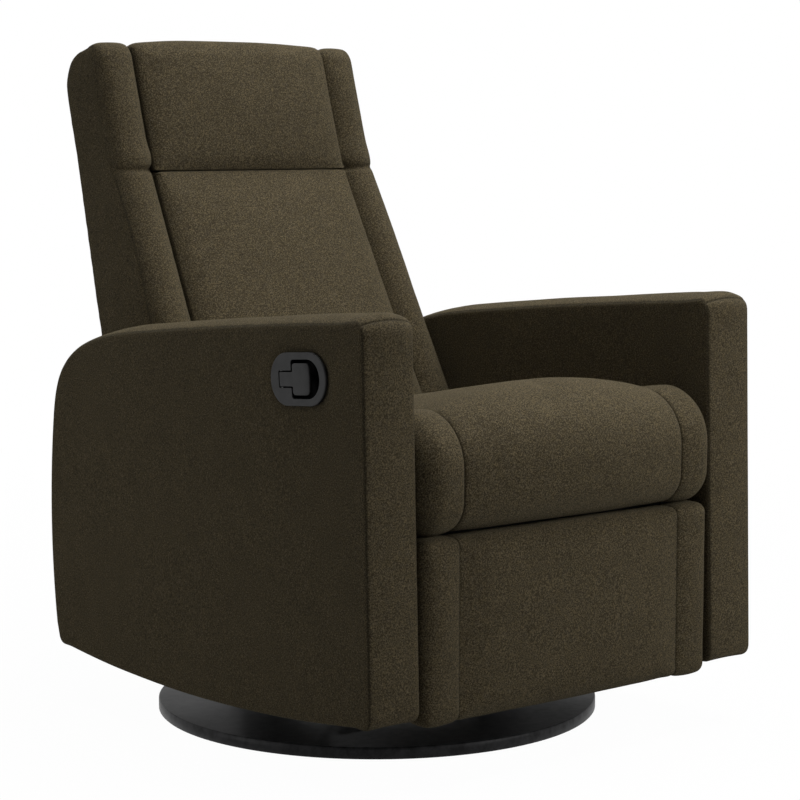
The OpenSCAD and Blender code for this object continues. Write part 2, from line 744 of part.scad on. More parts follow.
// Stadium in the side view round the middle of the handle
module stadium(x, t, l, h) {
  translate([x, -handle_y, handle_z]) rotate([90, 0, 90]) linear_extrude(t) {
    for (s = [-1, 1]) translate([s * (l - h) / 2, 0]) circle(h / 2);
    translate([-(l - h) / 2, -h / 2]) square([l - h, h]);
  }
}

// Arm cover on the +X side, open below where the frame closes it
module arm_cover() {
  difference() {
    soft_form(arm_face, arm_base, arm_stations);
    side_plate(board_in, arm_w - 2 * arm_pad, drawn_in(arm_loop, arm_pad));
    translate([arm_in - over, -side_rail_front - lay, deck_z - side_rail_h - lay])
      cube([arm_pad + 2 * over, side_rail_front + side_rail_back + 2 * lay, side_rail_h + 2 * lay]);
    for (s = [-1, 1]) translate([arm_in - over, s * tube_y - tube_w / 2 - lay, tube_z - lay])
      cube([arm_pad + 2 * over, tube_w + 2 * lay, tube_w + 2 * lay]);
  }
}

module arm_cover_right() {
  color(fabric) arm_cover();
}

module arm_cover_left() {
  color(fabric) difference() {
    mirror([1, 0, 0]) arm_cover();
    tilted() stadium(-arm_out - over, arm_pad + 2 * over, bezel_l - 2 * bezel_rim + 2 * lay,
      bezel_h - 2 * bezel_rim + 2 * lay);
  }
}

module arm_panel() {
  difference() {
    side_plate(board_in, board_t, arm_core);
    for (p = arm_bolt_places) x_pin(board_in - over, board_in + board_t + over, p[0], p[1], bolt_r);
  }
}

module arm_panel_right() {
  color(timber) arm_panel();
}

module arm_panel_left() {
  color(timber) mirror([1, 0, 0]) arm_panel();
}

// Boards on edge between the panel and the skin: bottom rail, front post, rear post, top rail
rails_x = board_in + board_t + glue;
rails_w = arm_w - 2 * arm_pad - board_t - skin_t - 2 * glue;
core_front = -arm_front + arm_front_lean + arm_pad + arm_nose_r;
core_back = arm_back - arm_pad - arm_foot_r;
core_low = arm_foot_z + arm_pad + 2 * over;
rear_post_y = core_back - arm_back_r + board_t;
// Height of the top rail's underside at a place along the arm
function rail_low(y) = arm_top_z - arm_pad - arm_top_bow - board_t + (y - core_front) * tan(arm_top_a);
module arm_rails() {
  translate([rails_x, core_front, core_low]) cube([rails_w, core_back - core_front, board_t]);
  for (y = [core_front, rear_post_y]) translate([rails_x, y, core_low + board_t + glue])
    cube([rails_w, board_t, rail_low(y + board_t) - core_low - board_t - 2 * glue]);
  side_plate(rails_x, rails_w, [for (p = [[core_front, 0], [core_front, board_t],
    [rear_post_y + board_t, board_t], [rear_post_y + board_t, 0]]) [p[0], rail_low(p[0]) + p[1]]]);
}

module arm_rails_right() {
  color(timber) arm_rails();
}

module arm_rails_left() {
  color(timber) mirror([1, 0, 0]) arm_rails();
}

module arm_skin_right() {
  color(timber) side_plate(arm_out - arm_pad - skin_t, skin_t, arm_core);
}

module arm_skin_left() {
  color(timber) difference() {
    side_plate(-arm_out + arm_pad, skin_t, arm_core);
    tilted() stadium(-arm_out + arm_pad - over, skin_t + 2 * over, bezel_l - 2 * bezel_rim + 2 * lay,
      bezel_h - 2 * bezel_rim + 2 * lay);
  }
}

module arm_bolts() {
  color(steel) both_mirrored() for (p = arm_bolt_places) {
    x_pin(side_rail_in - mech_t - bolt_head_h, side_rail_in - mech_t, p[0], p[1], bolt_head_r);
    x_pin(side_rail_in - mech_t, board_in + board_t, p[0], p[1], bolt_r - seat_fit);
  }
}

module seat_side_rails() {
  color(timber) both_mirrored() difference() {
    translate([side_rail_in, -side_rail_front, deck_z - side_rail_h])
      cube([side_rail_t, side_rail_front + side_rail_back, side_rail_h]);
    for (p = arm_bolt_places) x_pin(side_rail_in - over, board_in + over, p[0], p[1], bolt_r);
  }
}

module cross_rail(y) {
  color(timber) translate([-mech_in, y, deck_z - cross_rail_h])
    cube([2 * mech_in, cross_rail_t, cross_rail_h]);
}

module seat_front_rail() {
  cross_rail(-side_rail_front);
}

module seat_rear_rail() {
  cross_rail(rear_rail_y);
}

module seat_webbing() {
  span = 2 * (mech_in - strap_w / 2) - strap_w / 2;
  color(black) for (k = [0 : seat_strap_n - 1])
    translate([-span / 2 + span * k / (seat_strap_n - 1) - strap_w / 2, -side_rail_front, deck_z])
      cube([strap_w, side_rail_front + rear_rail_y + cross_rail_t, strap_t]);
}

// Seat cushion, with a rounded front, a crowned middle panel and a bolster at each side
module seat_cushion() {
  chin = [-seat_front + seat_chin_r, cushion_z + seat_chin_r];
  nose = [-seat_front + seat_nose_r, seat_edge_z - seat_nose_r];
  rear_top = [seat_back, seat_back_z];
  rear_low = [seat_back - seat_back_slope, cushion_z];
  nose_end = nose + seat_nose_r * [cos(98), sin(98)];
  face = concat(
    puffed_between(round_run(chin, seat_chin_r, 262, 192, 4), 0, seat_bulge),
    round_run(nose, seat_nose_r, 176, 98, 6, (seat_crown + seat_bulge) / 2),
    puffed_between(run(nose_end + (rear_top - nose_end) * seat_top_share, rear_top - [seat_tail_round, 0], 6),
      seat_crown, seat_crown * seat_tail_share),
    [[rear_top[0], rear_top[1] - seat_tail_round, 0]]);
  m = len(face);
  back = [for (k = [0 : m - 1]) [chin[0] + (rear_low[0] - chin[0]) * pow(k / (m - 1), seat_flat_power),
    cushion_z, 0]];
  stations = both_sides(concat(crown_run(seat_seam - channel_half, 3),
    channel_at(seat_seam), end_round(seat_half, seat_side_r, 4)));
  color(fabric) soft_form(face, back, stations);
}

// Puff that changes evenly from p0 to p1 along a run
function puffed_between(points, p0, p1) = let (n = len(points) - 1)
  [for (k = [0 : n]) [points[k][0], points[k][1], p0 + (p1 - p0) * k / n]];

module rear_panel() {
  color(fabric_dark) translate([-arm_in, rear_panel_y, rear_panel_z])
    cube([2 * arm_in, rear_panel_t, rear_panel_h]);
}

module mechanism_plates() {
  color(dark_steel) both_mirrored() difference() {
    union() {
      side_plate(mech_in, mech_t, [[-foot_a_y - lug_r, foot_a_z], [-foot_a_y - lug_r, foot_a_z + lug_r],
        [-foot_a_y, deck_z - lug_r], [recline_y, deck_z - lug_r], [recline_y + lug_r, recline_z],
        [recline_y, deck_z - side_rail_h], [-foot_a_y + lug_r, foot_a_z - lug_r],
        [-foot_a_y, foot_a_z - lug_r]]);
      x_pin(mech_in, mech_out, recline_y, recline_z, lug_r);
    }
    x_pin(mech_in - over, mech_out + over, -foot_a_y, foot_a_z, rivet_r + seat_fit);
    x_pin(mech_in - over, mech_out + over, recline_y, recline_z, rivet_r + seat_fit);
    for (p = arm_bolt_places) x_pin(mech_in - over, mech_out + over, p[0], p[1], bolt_r);
  }
}

// Fixed pins of the mechanism: the recline pins and the footrest arms' upper pins
module recline_pins() {
  color(steel) both_mirrored() {
    x_pin(post_out - mech_gap, mech_out, recline_y, recline_z, rivet_r);
    x_pin(post_out - mech_gap, post_out - lay, recline_y, recline_z, rivet_r + mech_gap);
    x_pin(post_out + mech_t + lay, mech_in, recline_y, recline_z, rivet_r + mech_gap);
    x_pin(arm1_in - mech_gap / 2, mech_out, -foot_a_y, foot_a_z, rivet_r);
    x_pin(arm1_out + lay, mech_in, -foot_a_y, foot_a_z, rivet_r + mech_gap);
    x_pin(arm1_in - mech_gap / 2, arm1_in - lay, -foot_a_y, foot_a_z, rivet_r + mech_gap);
  }
}

// Finger opening of the handle: a half-round front end and a straight back edge
module finger_outline() {
  r = finger_h / 2;
  translate([r - finger_front, 0]) circle(r);
  translate([r - finger_front, -r]) square([finger_front + finger_back - r, finger_h]);
}

module lever_bezel() {
  slot_h = stem_h + 2 * paddle_gap;
  color(black) tilted() difference() {
    union() {
      stadium(-plate_x, bezel_proud, bezel_l, bezel_h);
      stadium(-arm_out, cup_d, bezel_l - 2 * bezel_rim, bezel_h - 2 * bezel_rim);
    }
    stadium(-plate_x + bezel_proud, cup_d - cup_wall, bezel_l - 2 * bezel_rim - 2 * cup_wall,
      bezel_h - 2 * bezel_rim - 2 * cup_wall);
    translate([-plate_x - over, -handle_y, handle_z]) rotate([90, 0, 90])
      linear_extrude(bezel_proud + 2 * over) finger_outline();
    translate([-plate_x - over, -handle_y, handle_z - slot_h / 2])
      cube([bezel_proud + 2 * over, stem_back + knuckle_r + paddle_gap, slot_h]);
    translate([hinge_x, -hinge_y, handle_z - bezel_h / 2 + bezel_rim + cup_wall])
      cylinder(h = bezel_h - 2 * bezel_rim - 2 * cup_wall, r = lever_pin_r + seat_fit);
  }
}

module lever_paddle() {
  color(black) tilted() difference() {
    union() {
      translate([hinge_x - knuckle_r, -handle_y - head_front, handle_z - head_h / 2])
        cube([paddle_t, head_front + head_back, head_h]);
      translate([hinge_x - knuckle_r, -handle_y, handle_z - stem_h / 2]) cube([paddle_t, stem_back, stem_h]);
      translate([hinge_x, -hinge_y, handle_z - stem_h / 2]) cylinder(h = stem_h, r = knuckle_r);
    }
    translate([hinge_x, -hinge_y, handle_z - stem_h / 2 - over])
      cylinder(h = stem_h + 2 * over, r = lever_pin_r + play);
  }
}

module lever_pin() {
  color(steel) tilted() translate([hinge_x, -hinge_y, handle_z - stem_h]) cylinder(h = 2 * stem_h, r = lever_pin_r);
}

// Back. The front and rear faces in the side view, as y at a height z
function front_at(z) = z < head_seam_z ? back_y + (z - back_z) * tan(back_lean)
  : back_y + (head_seam_z - back_z) * tan(back_lean) + (z - head_seam_z) * tan(head_lean);
function rear_at(z) = rear_y + (z - rear_z) * tan(rear_lean);
function line_up(z0, z1, n, puff, shift) = [for (k = [0 : n]) let (z = z0 + (z1 - z0) * k / n)
  [front_at(z) + shift, z, puff]];
function frame_up(z0, z1, n) = [for (k = [0 : n]) let (z = z0 + (z1 - z0) * k / n)
  [rear_at(z) - frame_depth - lay, z, 0]];
// Centre of the rounded upper back corner, and the height of the top behind the headrest
top_c = [rear_at(rear_top_z) - rear_top_r * cos(rear_lean), rear_top_z + rear_top_r * sin(rear_lean)];
top_z = top_c[1] + rear_top_r;
// Angle round that corner where the outside back ends and the headrest begins
top_seam_a = 108;
// The rear face from a low edge up and round that corner, drawn in by a depth
function up_rear(z0, n, m, depth, puff) = concat(
  puffed([for (k = [0 : n - 1]) let (z = z0 + (rear_top_z - z0) * k / n) [rear_at(z) - depth, z, 0]], puff),
  round_run(top_c, rear_top_r - depth, -rear_lean, top_seam_a, m));

module lumbar_cushion() {
  n = 11;
  high_z = head_seam_z - lay;
  face = puffed(line_up(back_low_z, high_z, n, 0, 0), lumbar_puff);
  back = frame_up(post_low_z + board_t, high_z, n);
  stations = both_sides(concat(crown_run(panel_half, 4), end_round(panel_half - lay, channel_d, 2)));
  color(fabric) soft_form(face, back, stations, flare_share);
}

// Face and back of a piece that turns over the top of the back
function head_round(shift) = [front_at(head_top_z) + head_round_r + shift, head_top_z - head_round_r];
function over_top(z0, shift, n, puff) = concat(
  puffed(line_up(z0, head_top_z - head_round_r, n, 0, shift), puff),
  round_run(head_round(shift), head_round_r, 165, 100, 3, head_crown * edge_crown_share),
  [[top_c[0] + rear_top_r * cos(top_seam_a) - cover_t, top_z, head_crown],
  [top_c[0] + rear_top_r * cos(top_seam_a) - lay, top_z - over, 0]]);
function under_top(z0, n) = let (z1 = rear_top_z + cover_t, y1 = rear_at(z1) - frame_depth - lay,
  y2 = top_c[0] + (rear_top_r - cover_t) * cos(top_seam_a) - lay) concat(frame_up(z0, z1, n),
  [for (k = [1 : 6]) [y1 + (y2 - y1) * k / 6, z1 + over, 0]]);

module headrest_cushion() {
  n = 8;
  face = over_top(head_seam_z + lay, 0, n, head_puff);
  back = under_top(head_seam_z + lay, n);
  stations = both_sides(concat(crown_run(panel_half, 4), end_round(panel_half - lay, channel_d, 2)));
  color(fabric) soft_form(face, back, stations);
}

// Wing on the +X side
module wing() {
  n = 13;
  half = (wing_half - cover_t - panel_half) / 2;
  mid = panel_half + half;
  face = over_top(wing_low_z, channel_d, n, wing_puff);
  back = under_top(wing_low_z, n);
  stations = [for (k = [0 : 6]) let (t = k / 3 - 1)
    [mid + (half - lay) * t, pow(abs(t), wing_edge_power) * channel_d, 1 - t * t]];
  soft_form(face, back, stations, flare_share);
}

module wing_right() {
  color(fabric) wing();
}

module wing_left() {
  color(fabric) mirror([1, 0, 0]) wing();
}

// Sewn side cover of the back on the +X side
module back_side() {
  face = concat(line_up(wing_low_z, head_top_z - head_round_r, 9, 0, channel_d),
    round_run(head_round(channel_d), head_round_r, 150, 95, 2));
  back = up_rear(wing_low_z, 7, 5, cover_t + lay, 0);
  stations = [[wing_half - cover_t + lay, 0, 0], [wing_half - cover_t / 3, 0, 0],
    [wing_half, cover_t / 3, 0]];
  soft_form(face, back, stations, flare_share);
}

module back_side_right() {
  color(fabric) back_side();
}

module back_side_left() {
  color(fabric) mirror([1, 0, 0]) back_side();
}

// Outside back: the rear cover, rounded over the top corner
module outside_back() {
  outer = up_rear(post_low_z, 7, 5, 0, rear_puff);
  inner = up_rear(post_low_z, 7, 5, cover_t, 0);
  stations = both_sides(concat(crown_run(wing_half - cover_t, 2), end_round(wing_half, cover_t / 3, 2)));
  color(fabric_dark) soft_form(inner, outer, stations, flare_share);
}

module post_outline(z0, z1) {
  polygon([[rear_at(z0) - frame_depth, z0], [rear_at(z0) - frame_depth + post_d, z0],
    [rear_at(z1) - frame_depth + post_d, z1], [rear_at(z1) - frame_depth, z1]]);
}

module back_posts() {
  color(timber) both_mirrored() translate([post_in, 0, 0]) rotate([90, 0, 90]) linear_extrude(post_w)
    post_outline(post_low_z, rear_top_z);
}

module back_rails() {
  color(timber) for (z = back_rail_z) translate([-post_in + glue, 0, 0]) rotate([90, 0, 90])
    linear_extrude(2 * (post_in - glue)) post_outline(z, z + post_w);
}

// Steel bracket from each post to its recline pin
module back_brackets() {
  color(dark_steel) both_mirrored() difference() {
    union() {
      side_plate(post_out, mech_t, [[recline_y, recline_z - lug_r],
        [rear_at(post_low_z) - frame_depth, post_low_z],
        [rear_at(post_low_z) - frame_depth + post_d, post_low_z],
        [rear_at(wing_low_z) - frame_depth + post_d, wing_low_z - 2 * over],
        [rear_at(wing_low_z) - frame_depth, wing_low_z - 2 * over], [recline_y, recline_z + lug_r]]);
      x_pin(post_out, post_out + mech_t, recline_y, recline_z, lug_r);
    }
    x_pin(post_out - over, post_out + mech_t + over, recline_y, recline_z, rivet_r + play);
  }
}

// Straps spread evenly over each space between two rails
module back_webbing() {
  color(black) for (bay = [0, 1], k = [1 : back_strap_n]) let (low = back_rail_z[bay] + post_w,
    room = back_rail_z[bay + 1] - low - back_strap_n * strap_w,
    z = low + room * k / (back_strap_n + 1) + (k - 1) * strap_w)
    side_plate(-post_in + glue, 2 * (post_in - glue),
      [for (p = [[0, 0], [0, strap_w], [strap_t, strap_w], [strap_t, 0]])
        [rear_at(z + p[1]) - frame_depth + p[0], z + p[1]]]);
}

// Footrest, folded
foot_a = [-foot_a_y, foot_a_z];
foot_b = [-foot_b_y, foot_b_z];
foot_c = [-foot_c_y, foot_c_z];
drive_at = foot_a + (foot_b - foot_a) / 2;

module footrest_arms() {
  color(dark_steel) both_mirrored() difference() {
    side_bar(arm1_in, mech_t, foot_a, foot_b, bar_w / 2, rivet_r + play);
    x_pin(arm1_in - over, arm1_out + over, drive_at[0], drive_at[1], drive_tube_r + seat_fit);
  }
}

module footrest_drive_tube() {
  color(dark_steel) difference() {
    x_pin(-arm1_out, arm1_out, drive_at[0], drive_at[1], drive_tube_r);
    x_pin(-arm1_out - over, arm1_out + over, drive_at[0], drive_at[1], drive_tube_r - tube_wall);
  }
}

module footrest_links() {
  color(dark_steel) both_mirrored()
    side_bar(link2_in, mech_t, foot_b, foot_c, bar_w / 2, rivet_r + play);
}

// Rivets of the middle pivots, fixed in the footrest arms
module footrest_rivets() {
  color(steel) both_mirrored() {
    x_pin(link2_in - mech_gap / 2, arm1_out, foot_b[0], foot_b[1], rivet_r);
    x_pin(link2_out + lay, arm1_in - lay, foot_b[0], foot_b[1], rivet_r + mech_gap);
    x_pin(link2_in - mech_gap / 2, link2_in - lay, foot_b[0], foot_b[1], rivet_r + mech_gap);
  }
}

// Steel ears behind the pad board
module pad_ears() {
  board_back = -pad_back + pad_board_t;
  color(dark_steel) both_mirrored() difference() {
    union() {
      side_plate(ear_in, mech_t, [[board_back, foot_c_z - 3 * lug_r],
        [foot_c[0] + bar_w / 3, foot_c_z - bar_w / 2], [foot_c[0] + bar_w / 2, foot_c_z],
        [foot_c[0] + bar_w / 3, foot_c_z + bar_w / 2], [board_back, foot_c_z + lug_r]]);
      translate([ear_in - 2 * lug_r, board_back, foot_c_z - 3 * lug_r])
        cube([2 * lug_r + mech_t, mech_t, 4 * lug_r]);
    }
    x_pin(ear_in - over, ear_out + over, foot_c[0], foot_c[1], rivet_r + seat_fit);
  }
}

module pad_rivets() {
  color(steel) both_mirrored() {
    x_pin(ear_in - mech_gap / 2, link2_out + mech_gap / 2, foot_c[0], foot_c[1], rivet_r);
    x_pin(ear_out, link2_in - lay, foot_c[0], foot_c[1], rivet_r + mech_gap);
    x_pin(link2_out + lay, link2_out + mech_gap / 2, foot_c[0], foot_c[1], rivet_r + mech_gap);
  }
}

module pad_board() {
  color(timber) translate([-pad_half + pad_side_r, -pad_back, pad_low_z + pad_edge_r])
    cube([2 * (pad_half - pad_side_r), pad_board_t, pad_high_z - pad_low_z - 2 * pad_edge_r]);
}

module footrest_pad() {
  r = pad_edge_r;
  face = concat(
    round_run([-pad_front + r, pad_low_z + r], r, 265, 185, 4, pad_puff * edge_puff_share),
    puffed(run([-pad_front, pad_low_z + 3 * r], [-pad_front, pad_high_z - 3 * r], 5), pad_puff),
    round_run([-pad_front + r, pad_high_z - r], r, 175, 95, 4, pad_puff * edge_puff_share));
  m = len(face);
  back = [for (k = [0 : m - 1]) [-pad_back, pad_low_z + (pad_high_z - pad_low_z) * k / (m - 1), 0]];
  stations = both_sides(concat(crown_run(pad_seam - channel_half, 3),
    channel_at(pad_seam), end_round(pad_half, pad_side_r, 4)));
  color(fabric) soft_form(face, back, stations);
}

base_disc();
swivel_lower_plate();
swivel_balls();
king_pin();
plate_screws();
swivel_upper_plate();
turning_plate();
turning_plate_bolts();
glider_bracket_left();
glider_bracket_right();
bracket_bolts();
upper_pins();
front_links();
rear_links();
lower_pins();
glide_rail_left();
glide_rail_right();
rail_hangers();
cross_tube_front();
cross_tube_rear();
arm_panel_left();
arm_panel_right();
arm_rails_left();
arm_rails_right();
arm_skin_left();
arm_skin_right();
arm_cover_left();
arm_cover_right();
arm_bolts();
seat_side_rails();
seat_front_rail();
seat_rear_rail();
seat_webbing();
seat_cushion();
rear_panel();
mechanism_plates();
recline_pins();
lever_bezel();
lever_paddle();
lever_pin();
back_posts();
back_rails();
back_brackets();
back_webbing();
lumbar_cushion();
headrest_cushion();
wing_left();
wing_right();
back_side_left();
back_side_right();
outside_back();
footrest_arms();
footrest_drive_tube();
footrest_links();
footrest_rivets();
pad_ears();
pad_rivets();
pad_board();
footrest_pad();
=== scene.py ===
"""A swivel glider recliner in heathered olive wool cloth, on a round black disc.

Metres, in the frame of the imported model: the origin is the middle of the disc on the floor, +Z is
up, the sitter faces -Y, and the release handle is on the arm at -X.
"""
import json
import math

import bmesh
import bpy
import numpy as np
from mathutils import Matrix, Vector, kdtree, noise


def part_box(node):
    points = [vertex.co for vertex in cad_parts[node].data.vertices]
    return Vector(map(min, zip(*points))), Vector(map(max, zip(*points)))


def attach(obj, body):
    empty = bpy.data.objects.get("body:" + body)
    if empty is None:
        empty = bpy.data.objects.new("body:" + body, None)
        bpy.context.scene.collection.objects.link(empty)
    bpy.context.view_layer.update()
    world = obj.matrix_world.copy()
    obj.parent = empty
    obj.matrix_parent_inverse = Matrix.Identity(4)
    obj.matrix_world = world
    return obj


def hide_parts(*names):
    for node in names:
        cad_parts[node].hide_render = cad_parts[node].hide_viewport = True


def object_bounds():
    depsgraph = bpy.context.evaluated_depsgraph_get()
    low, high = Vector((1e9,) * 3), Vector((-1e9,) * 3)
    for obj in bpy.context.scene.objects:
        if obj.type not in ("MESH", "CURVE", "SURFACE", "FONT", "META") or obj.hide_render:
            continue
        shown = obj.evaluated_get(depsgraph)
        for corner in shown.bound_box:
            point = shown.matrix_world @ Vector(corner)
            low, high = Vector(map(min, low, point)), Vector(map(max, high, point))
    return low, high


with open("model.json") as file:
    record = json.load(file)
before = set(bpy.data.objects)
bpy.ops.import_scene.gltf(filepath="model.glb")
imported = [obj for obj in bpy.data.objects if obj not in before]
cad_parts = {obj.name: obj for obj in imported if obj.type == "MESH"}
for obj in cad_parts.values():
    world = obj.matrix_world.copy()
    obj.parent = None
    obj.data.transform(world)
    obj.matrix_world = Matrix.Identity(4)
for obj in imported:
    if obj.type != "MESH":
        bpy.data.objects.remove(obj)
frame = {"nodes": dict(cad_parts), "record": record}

cad_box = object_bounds()
scene = bpy.context.scene
scene.view_settings.view_transform = "Standard"


# Camera
# A long lens a little above the arms, turned to the sitter's right, so that the handle's side and
# the front both show. Its place was solved from the round disc and the chair's mirrored edges.
def side_of(azimuth, elevation):
    """The direction out from the chair at an azimuth and an elevation in degrees."""
    a, e = math.radians(azimuth), math.radians(elevation)
    return Vector((math.sin(a) * math.cos(e), -math.cos(a) * math.cos(e), math.sin(e)))


def aimed(name, data, place, out):
    """Puts a camera or a lamp at a place, turned to look back along a direction."""
    made = bpy.data.objects.new(name, data)
    made.location = place
    made.rotation_mode = "QUATERNION"
    made.rotation_quaternion = (-out).to_track_quat("-Z", "Y")
    scene.collection.objects.link(made)
    return made


camera_data = bpy.data.cameras.new("camera")
camera_data.lens = 105.6
camera_data.sensor_width = 36
camera_place = Vector((-2.3232, -2.9100, 0.9203))
scene.camera = aimed("camera", camera_data, camera_place, side_of(azimuth=-39.17, elevation=6.552))


# Studio
# A white sweep without a visible edge, a large soft lamp nearly overhead on the right, two smaller
# ones low in front and at the side, and even light from all round. The floor keeps a faint shadow.
class Shading:
    """A shader's nodes. Each socket takes a value, or another node's output as its link."""

    def __init__(self, tree):
        self.tree = tree
        tree.nodes.clear()

    def feed(self, node, sockets):
        """Sets or links a node's sockets."""
        for name, value in sockets.items():
            if isinstance(value, bpy.types.NodeSocket):
                self.tree.links.new(value, node.inputs[name])
            else:
                node.inputs[name].default_value = value
        return node

    def add(self, kind, sockets=None, **settings):
        """Adds a node."""
        made = self.tree.nodes.new("ShaderNode" + kind)
        for name, value in settings.items():
            setattr(made, name, value)
        return self.feed(made, sockets or {})

    def math(self, operation, first, second=0.0):
        """A simple step between two values."""
        return self.add("Math", {0: first, 1: second}, operation=operation).outputs[0]

    def plus(self, first, second):
        """The sum of two values."""
        return self.math("ADD", first, second)

    def times(self, first, second):
        """The product of two values."""
        return self.math("MULTIPLY", first, second)

    def between(self, value, low, high, to_low=0.0, to_high=1.0, **settings):
        """A value moved from one range to another, held inside it."""
        return self.add("MapRange", {"Value": value, "From Min": low, "From Max": high,
                                     "To Min": to_low, "To Max": to_high}, **settings).outputs[0]

    def noise(self, where, scale, detail=2.0, roughness=0.5):
        """Smooth random values over a surface."""
        return self.add("TexNoise", {"Vector": where, "Scale": scale, "Detail": detail,
                                     "Roughness": roughness}).outputs[0]

    def mix(self, share, first, second, blend="MIX"):
        """Two colours mixed by a share."""
        return self.add("Mix", {0: share, 6: first, 7: second},
                        data_type="RGBA", blend_type=blend).outputs[2]


def seen_apart(shading, output, lighting, shown):
    """Shows one shader to the camera and in mirrors, while another one lights the chair."""
    path = shading.add("LightPath").outputs
    mirrored = shading.math("MAXIMUM", path["Is Glossy Ray"], path["Is Transmission Ray"])
    seen = shading.math("MAXIMUM", path["Is Camera Ray"], mirrored)
    mixed = shading.add("MixShader", {0: seen, 1: lighting.outputs[0], 2: shown.outputs[0]})
    shading.add(output, {"Surface": mixed.outputs[0]})


white = (1, 1, 1, 1)
room_light = 0.14
world = bpy.data.worlds.new("studio")
scene.world = world
world.use_nodes = True
room = Shading(world.node_tree)
seen_apart(room, "OutputWorld", room.add("Background", {"Color": white, "Strength": room_light}),
           room.add("Background", {"Color": white, "Strength": 1.0}))

floor_half = 20.0
floor_glow, glow_fades_from, glow_fades_to = 0.98, 1.0, 3.2
lighting_grey, shown_grey = 0.24, 0.8
floor_mesh = bpy.data.meshes.new("floor")
floor_mesh.from_pydata(
    [(-floor_half, -floor_half, 0), (floor_half, -floor_half, 0),
     (floor_half, floor_half, 0), (-floor_half, floor_half, 0)], [], [(0, 1, 2, 3)])
floor = bpy.data.objects.new("floor", floor_mesh)
scene.collection.objects.link(floor)
floor_paint = bpy.data.materials.new("pale floor paint")
floor_paint.use_nodes = True
sweep = Shading(floor_paint.node_tree)
paint, shown_paint = (sweep.add("BsdfDiffuse", {"Color": (grey, grey, grey, 1), "Roughness": 0.5})
                      for grey in (lighting_grey, shown_grey))
glow = sweep.add("Emission", {"Color": white, "Strength": 1.0})
far_off = sweep.add("VectorMath", {0: sweep.add("TexCoord").outputs["Object"]}, operation="LENGTH")
glow_share = sweep.between(far_off.outputs["Value"], glow_fades_from, glow_fades_to, floor_glow, 1.0,
                           interpolation_type="SMOOTHSTEP")
seen_apart(sweep, "OutputMaterial", paint, sweep.add("MixShader", {
    0: glow_share, 1: shown_paint.outputs[0], 2: glow.outputs[0]}))
floor_mesh.materials.append(floor_paint)

for name, azimuth, elevation, distance, size, watts in (
        ("overhead_lamp", 88, 79, 3.4, 2.8, 160), ("front_lamp", 22, 13, 2.0, 1.1, 15.5),
        ("side_lamp", -104, -4, 2.2, 0.9, 6.5)):
    lamp_data = bpy.data.lights.new(name, "AREA")
    lamp_data.size = size
    lamp_data.energy = watts
    out = side_of(azimuth, elevation)
    aimed(name, lamp_data, (cad_box[0] + cad_box[1]) / 2 + out * distance, out)


# Arms
# Each arm is a board frame under foam, covered with a flat outer and a flat inner panel of wool
# cloth. A strip runs up the front and another over the top, sewn to both panels and to each other.
arm_low, arm_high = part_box("arm_cover_left")
arm_in = -arm_high.x
arm_out = -arm_low.x
arm_front, arm_front_lean, arm_back = 0.458, 0.015, 0.357
arm_foot_z, arm_heel_z, arm_top_z, arm_rear_top_z = 0.1035, 0.0905, 0.6635, 0.588
arm_belly, arm_rear_bow, arm_top_bow = 0.022, 0.016, 0.003
arm_foot_r, arm_nose_r = 0.017, 0.018
arm_bend_from, arm_bend_to = np.array([0.140, 0.6110]), np.array([0.3645, 0.452])
arm_bend_reach, arm_bend_rise = 0.194, 0.083
arm_crown, panel_inset = 0.0115, 0.0015
seam_roll, seam_sink, seam_line = 0.0055, 0.0019, 0.0015
seam_rows = (0.0007, 0.0018, 0.0038, 0.0070, 0.0125)
grid_step, rim_steps = 0.0085, 4000
pucker_reach, pucker_height, pucker_in = 0.009, 0.00045, 0.003
panel_wave, panel_ripple, strip_wave, nose_sink = 0.0009, 0.0003, 0.0007, 0.0022


def bowed(a, b, steps, bow=0.0):
    """Places from a to b, swollen to the left of that direction."""
    t = np.linspace(0, 1, steps + 1)[:, None]
    d = np.subtract(b, a)
    left = np.array([-d[1], d[0]]) / np.hypot(*d)
    return np.asarray(a) + d * t + left * bow * 4 * t * (1 - t)


def rounded(centre, radius, start, end, steps):
    """Places round a centre, between two angles in degrees."""
    a = np.radians(np.linspace(start, end, steps + 1))
    return np.column_stack([centre[0] + radius * np.cos(a), centre[1] + radius * np.sin(a)])


def bent(a, corner, b, low, high, steps, second=None):
    """Places on one smooth bend from a to b that leans toward its corners, between two shares of it."""
    t = np.linspace(low, high, steps + 1)[:, None]
    a, b, corner = np.asarray(a), np.asarray(b), np.asarray(corner)
    if second is None:
        return a * (1 - t) ** 2 + corner * 2 * t * (1 - t) + b * t ** 2
    return a * (1 - t) ** 3 + 3 * t * (1 - t) * (corner * (1 - t) + np.asarray(second) * t) + b * t ** 3


def lengths_along(places):
    """How far along a path each of its places lies."""
    return np.concatenate([[0], np.cumsum(np.linalg.norm(np.diff(places, axis=0), axis=1))])


def part_way(places, shares):
    """Places at shares of a path's length."""
    far = lengths_along(places)
    return np.column_stack([np.interp(shares * far[-1], far, column) for column in places.T])


def rows_between_seams(length, step=grid_step):
    """Shares of a length, close together at both ends, where the cloth rolls into a seam."""
    near = np.array(seam_rows) / length
    count = max(2, round((1 - 2 * near[-1]) * length / step))
    inner = np.linspace(near[-1], 1 - near[-1], count + 1)
    return np.concatenate([[0], near[:-1], inner, 1 - near[-2::-1], [1]])


def filled(low, high, front, rear, u, v):
    """A grid of places inside four sides that meet at their ends."""
    u, v = u[:, None, None], v[None, :, None]
    return ((1 - u) * front[None] + u * rear[None] + (1 - v) * low[:, None] + v * high[:, None]
            - (1 - u) * (1 - v) * low[0] - u * (1 - v) * low[-1]
            - (1 - u) * v * high[0] - u * v * high[-1])


